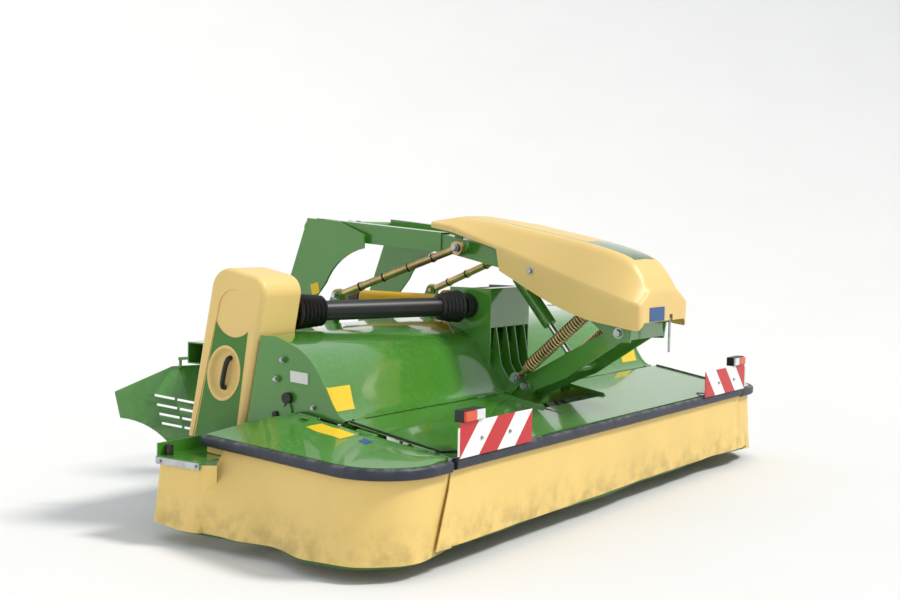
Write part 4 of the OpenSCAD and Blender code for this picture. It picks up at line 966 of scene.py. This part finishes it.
@dataclass
class DriveTower(Assembly):
    """Moulded cover of the side drive with its arched panel, handle dish and bow handle."""

    left: float = -1.488
    right: float = -1.223
    rotor_y: float = 1.18
    foot: float = 0.385
    top: float = 1.153
    edge: float = 0.028
    wall: float = 0.009
    sunk: float = 0.005
    dish: Flat = (1.25, 0.685)
    lean: float = 14.0
    dish_size: Flat = (0.088, 0.118)
    port: Flat = (1.12, 0.953)
    port_radius: float = 0.062
    door: tuple = ((1.08, 0.345), (1.245, 0.345), (1.245, 0.532), (1.08, 0.532))
    rims: tuple = ((0.0085, 0.0062), (0.0075, 0.0015), (0.004, 0.0), (-0.001, 0.001), (-0.007, 0.007),
                   (-0.013, 0.018), (-0.021, 0.0265), (-0.033, 0.03), (-0.06, 0.031), (-0.0875, 0.031))
    bow: tuple = ((0.03, 0.07), (0.013, 0.067), (0.005, 0.045), (0.003, 0.0), (0.005, -0.045),
                  (0.013, -0.067), (0.03, -0.07))

    def outline(self, d: float) -> list[Flat]:
        """The side outline moved inwards by d, foot corners last."""
        y = self.rotor_y
        line = arc((y + 0.056, self.top - 0.1), 0.1 - d, 12, 95, 10)
        line += arc((y - 0.082, self.top - 0.107), 0.082 - d, 103, 191, 10)
        return [(y + 0.294 - d, self.foot)] + line + [(y - 0.037 + d, self.foot)]

    def solid(self, name: str, inset: float) -> bpy.types.Object:
        """A closed body with rounded rims, `inset` inside the outer one and open room below."""
        rows = []
        radius = max(0.008, self.edge - inset)
        for k in range(7):
            a = math.pi / 2 * k / 6
            rows.append((self.left + inset + radius * (1 - math.sin(a)), inset + radius * (1 - math.cos(a))))
        rows = [(x, d) for x, d in reversed(rows)]
        rows += [(self.left + self.right - x, d) for x, d in reversed(rows)]
        rows = sorted(rows)
        low = -0.03 if inset else 0.0
        lines = []
        for x, d in rows:
            line = self.outline(d)
            lines.append([spot(x, y, z + (low if i in (0, len(line) - 1) else 0.0))
                          for i, (y, z) in enumerate(line)])
        wide = len(lines[0])
        points = [p for line in lines for p in line]
        faces = quads(len(lines), wide, closed=True)
        faces += [tuple(range(wide)), tuple((len(lines) - 1) * wide + c for c in range(wide))]
        return self.shop.from_faces(name, points, faces, self.paints.cream)

    def oval(self, grow: float, steps: int = 40) -> list[Flat]:
        """The dish's oval in the side plane, larger by `grow`."""
        turn = math.radians(self.lean)
        made = []
        for k in range(steps):
            a = 2 * math.pi * k / steps
            u, v = (self.dish_size[0] + grow) * math.cos(a), (self.dish_size[1] + grow) * math.sin(a)
            made.append((self.dish[0] + u * math.cos(turn) - v * math.sin(turn),
                         self.dish[1] + u * math.sin(turn) + v * math.cos(turn)))
        return made

    def arch(self) -> list[Flat]:
        """Outline of the sunk panel."""
        y, z = self.rotor_y, self.top
        return [(y - 0.015, self.foot - 0.01), (y + 0.258, self.foot - 0.01)] + arc(
            (y + 0.006, z - 0.188), 0.098, 8, 176, 28)

    def panel(self) -> list[Flat]:
        """Outline of the green panel, with its hollow top edge, a little inside the sunk one."""
        y, z = self.rotor_y, self.top
        hollow = arc((y + 0.01, z - 0.186), 0.119, -26, -131, 24)
        return [(y + 0.003, self.foot), (y + 0.246, self.foot)] + hollow

    def side(self, a: float, b: float, d: float) -> Vector:
        """A place on the tower's face, d inside it."""
        return spot(self.left + d, a, b)

    def across(self, a: float, b: float, d: float) -> Vector:
        """A place in the side plane at d along the machine's width."""
        return spot(d, a, b)

    def on_dish(self, along: float, d: float, behind: float = 0.0) -> Vector:
        """A place on the dish's long axis, `along` from its middle and d inside the face."""
        turn = math.radians(self.lean)
        y = self.dish[0] + behind - along * math.sin(turn)
        return self.side(y, self.dish[1] + along * math.cos(turn), d)

    def build(self) -> None:
        """Cover, panel, dish, handle and bolts."""
        shop = self.shop
        skin = self.solid("tower_skin", 0.0)
        hollow = self.solid("hollow", self.wall)
        sunk = shop.prism("sunk", self.arch(), self.side, (-0.01, self.sunk))
        hole = shop.prism("hole", self.oval(0.004), self.side, (-0.01, 0.02))
        y, z = self.port
        ring = [math.pi * k / 16 for k in range(32)]
        shaft = [(y + self.port_radius * math.cos(a), z + self.port_radius * math.sin(a)) for a in ring]
        inner = (self.right - 0.03, self.right + 0.02)
        port = shop.prism("port", shaft, self.across, inner)
        door = shop.prism("door", self.door, self.across, inner)
        shop.cut(skin, hollow, sunk, hole, port, door)
        shop.ride(shop.soften(skin, 0.0015, 2, 40), "mower", "cream", ["drive_tower"])
        rows = [[self.side(a, b, d) for a, b in self.oval(grow)] for grow, d in self.rims]
        bowl = shop.grid("tower_dish", rows, 0.002, self.paints.cream, closed=True)
        shop.ride(shop.soften(bowl, 0.0), "mower", "cream")
        sheet = shop.prism("tower_panel", self.panel(), self.side, (0.0034, 0.0052), self.paints.panel_green)
        opening = shop.prism("opening", self.oval(0.0065), self.side, (-0.01, 0.02))
        shop.ride(shop.soften(shop.cut(sheet, opening), 0.0004, 1), "mower")
        line = [self.on_dish(t, d) for d, t in self.bow]
        handle = self.repeats.tube("tower_bow", line, 0.0115, self.paints.black, fillet=0.014)
        shop.ride(handle, "mower", "black_rubber", ["tower_handle"])
        spots = [(self.on_dish(t, 0.0295, 0.024), Vector((-1, 0, 0))) for t in (-0.05, 0.0, 0.05)]
        shop.ride(self.repeats.bolts("tower_bolts", spots, 0.007, self.paints.zinc), "mower")


@dataclass
class Trims(Assembly):
    """Rubber edges of the guards as softly rounded strips."""

    fold_x: float = 1.51
    gap: float = 0.01
    side_half: float = 1.895
    corner: float = 0.26
    taper: float = 13.0
    side_end: float = 1.19
    guard_half: float = 1.5

    def edge_line(self, d: float, end: float, steps: int = 18) -> list[Flat]:
        """A side guard's outline in plan, d inside it, from the front joint to the back."""
        a = math.radians(self.taper)
        cx, cy = self.side_half - self.corner, self.corner - 0.005
        x_end = cx + self.corner * math.cos(a) - (end - cy - self.corner * math.sin(a)) * math.tan(a)
        return ([(self.fold_x + self.gap, d - 0.005)] + arc((cx, cy), self.corner - d, -90, self.taper, steps)
                + [(x_end - d / math.cos(a), end)])

    def build(self) -> None:
        """The front strip and one round each side guard."""
        front = [spot(x, 0.0055, 0.4245) for x in (-self.guard_half + 0.001, 0.0, self.guard_half - 0.001)]
        strip = self.repeats.strip("front_edge", front, (0.032, 0.048), 0.014, self.paints.rubber)
        self.shop.ride(strip, "front_guard_body", "black_rubber", ["front_trim"])
        for side in Side:
            line = [spot(side.value * x, y, 0.416) for x, y in self.edge_line(0.0145, self.side_end)]
            word = side.word
            strip = self.repeats.strip(f"side_edge_{word}", line, (0.029, 0.047), 0.013, self.paints.rubber)
            self.shop.ride(strip, f"side_guard_{word}_body", "black_rubber", [f"side_trim_{word}"])


def along_table(table: Sequence[Flat], at: float) -> float:
    """Value of a table of (place, value) rows at a place, eased between its rows."""
    for (a, first), (b, second) in zip(table, table[1:]):
        if at <= b:
            return first + (second - first) * smooth_step((at - a) / (b - a))
    return table[-1][1]


class PlanLine:
    """A line in plan, walked by the distance along it."""

    def __init__(self, points: Sequence[Flat]) -> None:
        """Keeps the points and their distances."""
        self.points = [Vector(p) for p in points]
        self.steps = [(b - a).length for a, b in zip(self.points, self.points[1:])]
        self.length = sum(self.steps)

    def at(self, along: float, side: Side) -> tuple[Flat, Flat]:
        """Place and outward direction at a distance along the line, on one side of the machine."""
        left = min(max(along, 0.0), self.length - MERGE)
        for a, b, step in zip(self.points, self.points[1:], self.steps):
            if left <= step:
                break
            left -= step
        here, way = a.lerp(b, left / step), (b - a).normalized()
        return (side.value * here.x, here.y), (side.value * way.y, -way.x)


@dataclass(frozen=True)
class Cloth:
    """One curtain: where it runs, how it hangs and what holds it.

    `path` gives a place and its outward direction in plan, `hem` and `top` give heights, and
    `swell` says how far the cloth stands out, each by the distance along the top. `seed`
    varies the folds and `spans` is the number of steps along the cloth.
    """

    name: str
    path: Callable
    length: float
    hem: Callable
    top: Callable
    swell: Callable
    seed: float
    spans: int
    material: bpy.types.Material
    body: str
    node: str
    rest: str


@dataclass
class Curtains(Assembly):
    """Cloth curtains, hung from the guards and steps with soft folds."""

    trims: Trims
    hem_front: float = 0.088
    hem_side: float = 0.06
    top: float = 0.436
    split: float = 1.035
    rear_end: float = 1.185
    flare: tuple = ((0.0, 0.0), (0.17, 0.004), (0.35, 0.03), (0.5, 0.062), (0.68, 0.1), (0.9, 0.088),
                    (1.12, 0.128), (1.32, 0.17), (1.5, 0.17))

    def wave(self, along: float, down: float, seed: float) -> float:
        """How far the cloth stands out at a place along it, `down` from 0 at its top to 1."""
        ripple = (0.5 * math.sin(5.1 * along + seed) + 0.3 * math.sin(11.7 * along + 2.1 * seed + 1.2 * down)
                  + 0.2 * math.sin(23.0 * along + 3.7 * seed - 1.5 * down))
        return ripple * down ** 1.6

    def hang(self, cloth: Cloth) -> None:
        """Makes a curtain as a thick sheet and hands it to its body."""
        rows = []
        for r in range(CLOTH_ROWS + 1):
            down = r / CLOTH_ROWS
            row = []
            for k in range(cloth.spans + 1):
                along = cloth.length * k / cloth.spans
                (x, y), (ox, oy) = cloth.path(along, down)
                out = cloth.swell(along, down) + 0.006 * self.wave(along, down, cloth.seed)
                top, low = cloth.top(along), cloth.hem(along)
                row.append(spot(x + ox * out, y + oy * out, top - (top - low) * down))
            rows.append(row)
        made = self.shop.soften(self.shop.grid(cloth.name, rows, CLOTH_THICK, cloth.material), 0.0)
        self.shop.ride(made, cloth.body, "cream", [cloth.node])

    def front(self) -> None:
        """The front curtain, with its corners laid over the side ones."""
        half = self.trims.guard_half

        def path(along: float, down: float):
            """Straight along the front, its ends drawn outwards below the edge."""
            part = along / (2 * half)
            reach = half + 0.125 * max(0.0, down - 0.14) / 0.86
            x = -reach + 2 * reach * part
            over = max(0.0, abs(x) - half)
            return (x, 0.0215 - (0.004 + 0.012 * down) * smooth_step(over / 0.03)), (0.0, -1.0)

        def swell(along: float, down: float) -> float:
            """Soft bellies, more of them towards the right end."""
            right = smooth_step((along - 2.2) / 0.8) * (1 - smooth_step((along - 2.88) / 0.1))
            middle = smooth_step(along / 0.15) * (1 - smooth_step((along - 2.88) / 0.1))
            return (middle * (0.003 + 0.006 * down * math.sin(2.2 * along + 0.6))
                    + right * down ** 2 * 0.022 * math.sin(9.5 * along))

        def hem(along: float) -> float:
            """Lightly waved lower edge."""
            return self.hem_front + 0.004 * math.sin(3.1 * along) + 0.003 * math.sin(7.7 * along + 1.0)

        self.hang(Cloth("front_cloth", path, 2 * half, hem, lambda along: self.top, swell, 1.3, 160,
                        self.paints.cloth, "front_guard_body", "front_curtain", "front_edge"))

    def side(self, side: Side) -> None:
        """The curtain round one side guard, swelling out below its edge."""
        line = PlanLine([(1.468, 0.0315)] + self.trims.edge_line(0.0345, self.rear_end, 26))
        whole = line.length
        cut = whole - (self.rear_end - self.split) / math.cos(math.radians(self.trims.taper))

        def swell(along: float, down: float) -> float:
            """Flare of the lower edge, over the step's level at the back."""
            back = smooth_step((along - cut + 0.42) / 0.4)
            if along > cut + 0.004:
                return 0.0
            shape = (1 - back) * down ** 1.35 + back * smooth_step((down - 0.06) / 0.62)
            fold = 0.01 * math.sin(13.0 * along) * down ** 2 * smooth_step((along - 0.5) / 0.3)
            return along_table(self.flare, along) * shape + fold

        def hem(along: float) -> float:
            """Lower edge, cut off above the step at the back."""
            if along > cut + 0.004:
                return 0.362
            return self.hem_side + 0.02 * (1 - smooth_step(along / 0.3)) + 0.004 * math.sin(8 * along)

        def top(along: float) -> float:
            """Upper edge, lower where it passes behind the front curtain."""
            return self.top - 0.004 - 0.03 * (1 - smooth_step((along - 0.03) / 0.03))

        word = side.word
        self.hang(Cloth(f"side_cloth_{word}", lambda along, down: line.at(along, side), whole, hem, top, swell,
                        0.7 + side.value, 150, self.paints.side_cloth, f"side_guard_{word}_body",
                        f"side_curtain_{word}", f"side_edge_{word}"))

    def rear(self, side: Side) -> None:
        """The curtain under one step, round its corner."""
        corner = arc((1.8, 1.264), 0.036, 0, 90, 9)
        line = PlanLine([(1.8, 0.99), (1.832, 1.05)] + corner + [(1.744, 1.3)])

        def swell(along: float, down: float) -> float:
            """A soft flare of the lower edge."""
            return (0.034 + 0.008 * math.sin(16.0 * along)) * down ** 1.2 * smooth_step((along + 0.02) / 0.1)

        def hem(along: float) -> float:
            """Lower edge, rising to the corner."""
            return self.hem_side + 0.004 + 0.016 * smooth_step((along - 0.1) / 0.25)

        word = side.word
        self.hang(Cloth(f"rear_cloth_{word}", lambda along, down: line.at(along, side), line.length, hem,
                        lambda along: 0.344, swell, 2.1, 48, self.paints.side_cloth, "mower",
                        f"rear_curtain_{word}", f"soft_side_step_{word}"))

    def build(self) -> None:
        """All the curtains."""
        self.front()
        for side in Side:
            self.side(side)
            self.rear(side)


@dataclass
class Linkage(Assembly):
    """Relief springs, bands of the struts, big bolts and the ram's plate."""

    spring_foot: Point = (0.231, 0.475, 0.621)
    spring_head: Point = (0.231, 0.074, 0.98)
    strut_foot: Point = (0.43, 1.44, 0.985)
    strut_head: Point = (0.326, 0.78, 1.246)
    coil_radius: float = 0.0275
    wire: float = 0.0052
    turns: float = 25.0
    band_radius: float = 0.0235
    band_half: float = 0.004
    band_places: tuple = (0.19, 0.39, 0.6, 0.8)
    ram_plate: tuple = ((-0.03, 0.615, 1.105), (0.005, 0.585, 1.125), (0.005, 0.53, 1.06), (-0.03, 0.555, 1.03))
    head_plate: tuple = ((-0.39, 1.665, 1.03), (-0.39, 1.613, 1.045), (-0.39, 1.6, 0.99), (-0.39, 1.65, 0.975))
    pin_heads: tuple = (("mower", ((0.2585, 0.475, 0.621, 0.02), (0.1885, 0.46, 0.578, 0.019),
                                   (0.4625, 1.44, 0.985, 0.014))),
                        ("lift_arm_body", ((0.1925, -0.045, 0.867, 0.02), (0.3525, 0.78, 1.246, 0.016))))

    def springs(self) -> None:
        """Open coils over a dark core, between tapered ends."""
        for side in Side:
            low = spot(side.value * self.spring_foot[0], *self.spring_foot[1:])
            high = spot(side.value * self.spring_head[0], *self.spring_head[1:])
            way = (high - low).normalized()
            word = side.word
            coil = self.repeats.coil(f"coil_{word}", low + way * 0.078, high - way * 0.05, self.coil_radius,
                                     self.wire, self.turns, self.paints.gold)
            self.shop.ride(coil, "springs_body", "zinc", ["relief_springs"] if side is Side.LEFT else [])
            ends = [(low + way * 0.062, low + way * 0.092), (high - way * 0.07, high - way * 0.03)]
            plugs = self.repeats.rods(f"coil_plugs_{word}", ends, 0.0235, self.paints.gold)
            self.shop.ride(plugs, "springs_body", "zinc")
            inner = [(low + way * 0.092, high)]
            core = self.repeats.rods(f"coil_core_{word}", inner, 0.0145, self.paints.worn)
            self.shop.ride(core, "springs_body", "zinc")

    def bands(self) -> None:
        """Dark bands round the struts."""
        pairs = []
        for side in Side:
            low = spot(side.value * self.strut_foot[0], *self.strut_foot[1:])
            high = spot(side.value * self.strut_head[0], *self.strut_head[1:])
            way = (high - low).normalized()
            span, half = (high - low).length, self.band_half
            pairs += [(low + way * (span * k - half), low + way * (span * k + half)) for k in self.band_places]
        bands = self.repeats.rods("strut_bands", pairs, self.band_radius, self.paints.black)
        self.shop.ride(bands, "struts_body")

    def heads(self) -> None:
        """Bolt heads on the ends of the pins, one piece for each body."""
        for body, rows in self.pin_heads:
            for number, (x, y, z, radius) in enumerate(rows, 1):
                spots = [(spot(side.value * x, y, z), Vector((side.value, 0, 0))) for side in Side]
                bolts = self.repeats.bolts(f"pin_heads_{body}_{number}", spots, radius, self.paints.zinc, 1.3)
                self.shop.ride(bolts, body)

    def build(self) -> None:
        """Springs, bands, bolts and plate."""
        self.springs()
        self.bands()
        self.heads()
        for name, corners, node, outward in (
                ("ram_plate", self.ram_plate, "lift_barrel", (-0.75, -0.4, 0.5)),
                ("headstock_plate", self.head_plate, "headstock", (-1.0, 0.0, 0.0))):
            places = [spot(*corner) for corner in corners]
            self.shop.plate_on(name, places, node, outward, self.paints.plate_yellow)


@dataclass
class GuardDressing(Assembly):
    """Lamp lenses, board bolts, reflectors and blank plates of the guards."""

    lamp_z: Flat = (0.591, 0.631)
    reflector: tuple = ((1.502, 1.516), (-0.0195, -0.0165), (0.456, 0.57))
    plate: tuple = ((-1.623, 0.483), (-1.553, 0.455), (-1.536, 0.648), (-1.583, 0.695))
    label: tuple = ((-1.628, 0.347), (-1.58, 0.347), (-1.575, 0.395), (-1.612, 0.397))
    sheet_z: float = 0.5

    def slab(self, name: str, x: Flat, y: Flat, z: Flat, material: bpy.types.Material) -> bpy.types.Object:
        """A small rounded block on the front guard."""
        outline = [(x[0], z[0]), (x[1], z[0]), (x[1], z[1]), (x[0], z[1])]
        made = self.shop.prism(name, outline, lambda a, b, d: spot(a, d, b), y, material)
        return self.shop.ride(self.shop.soften(made, 0.002), "front_guard_body")

    def build(self) -> None:
        """Lenses, reflectors, bolts and plates."""
        p = self.paints
        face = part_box("board_lamps")[0][1] - spot(0, 0, 0).y
        for side in Side:
            way, word = side.value, side.word
            amber = sorted((way * 1.398, way * 1.4775))
            clear = sorted((way * 1.3325, way * 1.394))
            self.slab(f"amber_lens_{word}", amber, (face - 0.012, face + 0.004), self.lamp_z, p.amber)
            self.slab(f"clear_lens_{word}", clear, (face - 0.01, face + 0.004), self.lamp_z, p.clear)
            wide, deep, tall = self.reflector
            self.slab(f"reflector_{word}", sorted((way * wide[0], way * wide[1])), deep, tall, p.white)
        spots = [(spot(side.value * x, -0.0183, 0.512), Vector((0, -1, 0)))
                 for side in Side for x in (1.12, 1.34)]
        self.shop.ride(self.repeats.bolts("board_bolts", spots, 0.006, p.zinc, 1.5, 12), "front_guard_body")
        up = (0, 0, 1)
        for side in Side:
            corners = [spot(-side.value * x, y, self.sheet_z) for x, y in self.plate]
            word = side.word
            self.shop.plate_on(f"guard_plate_{word}", corners, f"side_guard_{word}", up, p.plate_yellow)
        corners = [spot(x, y, self.sheet_z) for x, y in self.label]
        self.shop.plate_on("guard_plate_blue", corners, "side_guard_left", up, p.plate_blue)


@dataclass
class HoodDressing(Assembly):
    """Blank plates, knobs, bolts, cable clips and the chain of the hood and its ends."""

    label: tuple = ((0.769, 0.673), (0.864, 0.679), (0.866, 0.727), (0.77, 0.721))
    links: tuple = ((-0.24, 0.95, 0.88), (-0.25, 0.9, 0.872), (-0.26, 0.865, 0.855), (-0.28, 0.815, 0.806))
    clips: tuple = ((0.7, 0.534), (0.587, 0.519))
    strip: tuple = ((1.05, 0.324), (1.298, 0.324), (1.298, 0.353), (1.05, 0.353))

    def ends(self) -> None:
        """Knobs and bolts on both end plates and the label on the left one."""
        p, bars = self.paints, self.repeats.rods
        caps = [(spot(s.value * 1.486, 0.8745, 0.608), spot(s.value * 1.503, 0.8745, 0.608)) for s in Side]
        self.shop.ride(bars("end_knobs", caps, 0.024, p.black), "mower")
        pins = [(spot(s.value * 1.478, 0.94, 0.532), spot(s.value * 1.502, 0.94, 0.532)) for s in Side]
        self.shop.ride(bars("end_pins", pins, 0.013, p.black), "mower")
        spots = [(spot(s.value * x, y, z), Vector((s.value, 0, 0))) for s in Side
                 for x, y, z in ((1.4945, 0.905, 0.77), (1.4945, 0.94, 0.685), (1.4845, 0.738, 0.576))]
        self.shop.ride(self.repeats.bolts("end_bolts", spots, 0.0095, p.zinc, 1.3), "mower")
        made = self.shop.prism("end_label", self.label, lambda a, b, d: spot(d, a, b),
                                (-1.4862, -1.479), p.white)
        self.shop.ride(made, "mower")

    def plates(self) -> None:
        """Yellow blank plates on the hood's slope."""
        rows = {Side.LEFT: (-1.474, -1.31, -1.35, -1.476), Side.RIGHT: (1.285, 1.463, 1.396, 1.212)}
        for side, (a, b, c, d) in rows.items():
            places = [spot(a, 0.69, 0.654), spot(b, 0.69, 0.654), spot(c, 0.62, 0.568), spot(d, 0.62, 0.568)]
            name = f"hood_plate_{side.word}"
            self.shop.plate_on(name, places, "hood", (0, -0.7, 0.7), self.paints.plate_yellow)

    def fittings(self) -> None:
        """Cable clips, the chain, step bolts and buffers."""
        p = self.paints
        clips = [(spot(s.value * 1.491, y - 0.008, z), spot(s.value * 1.491, y + 0.008, z)) for s in Side
                 for y, z in self.clips]
        self.shop.ride(self.repeats.rods("cable_clips", clips, 0.0065, p.white, 12), "mower")
        links = [spot(*place) for place in self.links]
        self.shop.ride(self.repeats.chain("guard_chain", links, 0.021, 0.0026, p.gold), "mower")
        bolts = [(spot(s.value * 1.8445, y, 0.338), Vector((s.value, 0, 0)))
                 for s in Side for y in (1.07, 1.275)]
        self.shop.ride(self.repeats.bolts("step_bolts", bolts, 0.0075, p.zinc, 1.4), "mower")
        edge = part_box("side_step_right")[1][0]
        for side in Side:
            strip = self.shop.prism(f"step_strip_{side.word}", self.strip,
                                    lambda a, b, d, way=side.value: spot(way * d, a, b),
                                    (edge - 0.001, edge + 0.0012), p.zinc)
            self.shop.ride(strip, "mower")
        posts = [(spot(s.value * 1.79, 1.275, 0.35), spot(s.value * 1.79, 1.275, 0.402)) for s in Side]
        self.shop.ride(self.repeats.rods("step_buffers", posts, 0.017, p.black), "mower")

    def build(self) -> None:
        """All of it."""
        self.ends()
        self.plates()
        self.fittings()


@dataclass
class StudioSet:
    """Floor, backdrop, lights and camera."""

    paints: Paints
    eye: Point = (-5.93, -3.796, 1.386)
    yaw: float = 56.5
    pitch: float = 3.4
    roll: float = 1.1
    focal_px: float = 1355.0
    width_px: int = 900
    height_px: int = 600

    def camera(self) -> None:
        """Sets the camera to the photograph's view."""
        yaw, pitch, roll = (math.radians(a) for a in (self.yaw, self.pitch, self.roll))
        ahead = Vector((math.sin(yaw) * math.cos(pitch), math.cos(yaw) * math.cos(pitch), -math.sin(pitch)))
        right = Vector((math.cos(yaw), -math.sin(yaw), 0.0))
        above = right.cross(ahead)
        tilted = math.cos(roll) * right + math.sin(roll) * above
        upward = math.cos(roll) * above - math.sin(roll) * right
        turn = Matrix((tilted, upward, -ahead)).transposed().to_4x4()
        data = bpy.data.cameras.new("camera")
        data.sensor_width = 36.0
        data.lens = self.focal_px * 36.0 / self.width_px
        made = bpy.data.objects.new("camera", data)
        made.matrix_world = Matrix.Translation(self.eye) @ turn
        scene = bpy.context.scene
        scene.collection.objects.link(made)
        scene.camera = made
        scene.render.resolution_x = self.width_px
        scene.render.resolution_y = self.height_px
        scene.view_settings.view_transform = "Standard"
        scene.view_settings.look = "None"

    def backdrop(self) -> None:
        """A pale floor that turns up into a wall all round, far from the machine."""
        profile = [(0.0, 0.0), (8.5, 0.0)] + arc((8.5, 22.0), 22.0, -88, -10, 26)
        turns = 72
        rows = [[Vector((r * math.cos(2 * math.pi * k / turns), r * math.sin(2 * math.pi * k / turns), z))
                 for k in range(turns)] for r, z in profile[1:]]
        mesh = bpy.data.meshes.new("studio_floor")
        points = [Vector((0, 0, 0))] + [p for row in rows for p in row]
        faces = [(0, 1 + k, 1 + (k + 1) % turns) for k in range(turns)]
        faces += [(1 + i * turns + k, 1 + (i + 1) * turns + k, 1 + (i + 1) * turns + (k + 1) % turns,
                   1 + i * turns + (k + 1) % turns) for i in range(len(rows) - 1) for k in range(turns)]
        mesh.from_pydata(points, [], faces)
        mesh.materials.append(self.paints.studio)
        mesh.shade_smooth()
        floor = bpy.data.objects.new("studio_floor", mesh)
        bpy.context.scene.collection.objects.link(floor)

    def lights(self) -> None:
        """A soft key light from the front right and an even sky."""
        world = bpy.data.worlds.new("sky")
        world.use_nodes = True
        back = world.node_tree.nodes["Background"]
        back.inputs["Color"].default_value = tint(236, 241, 248)
        back.inputs["Strength"].default_value = 0.85
        bpy.context.scene.world = world
        sun = bpy.data.lights.new("key", "SUN")
        sun.energy = 2.5
        sun.angle = math.radians(12)
        sun.color = (1.0, 0.97, 0.92)
        made = bpy.data.objects.new("key", sun)
        way = Vector((-0.35, 0.62, -0.85))
        made.matrix_world = way.to_track_quat("-Z", "Y").to_matrix().to_4x4()
        bpy.context.scene.collection.objects.link(made)

    def build(self) -> None:
        """Sets all of it."""
        self.backdrop()
        self.lights()
        self.camera()


def main() -> None:
    """Builds the machine piece by piece."""
    logging.basicConfig(level=logging.INFO, format="%(name)s %(message)s")
    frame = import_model()
    paints = Paints()
    shop = Workshop(frame, paints)
    repeats = Repeats(shop)
    trims = Trims(shop, repeats)
    for assembly in (PlainPieces(shop, repeats), ArmCover(shop, repeats), DriveTower(shop, repeats), trims,
                     Curtains(shop, repeats, trims), Linkage(shop, repeats), GuardDressing(shop, repeats),
                     HoodDressing(shop, repeats)):
        assembly.build()
        LOG.info("%s is built", type(assembly).__name__)
    StudioSet(paints).build()


if __name__ == "__main__":
    main()
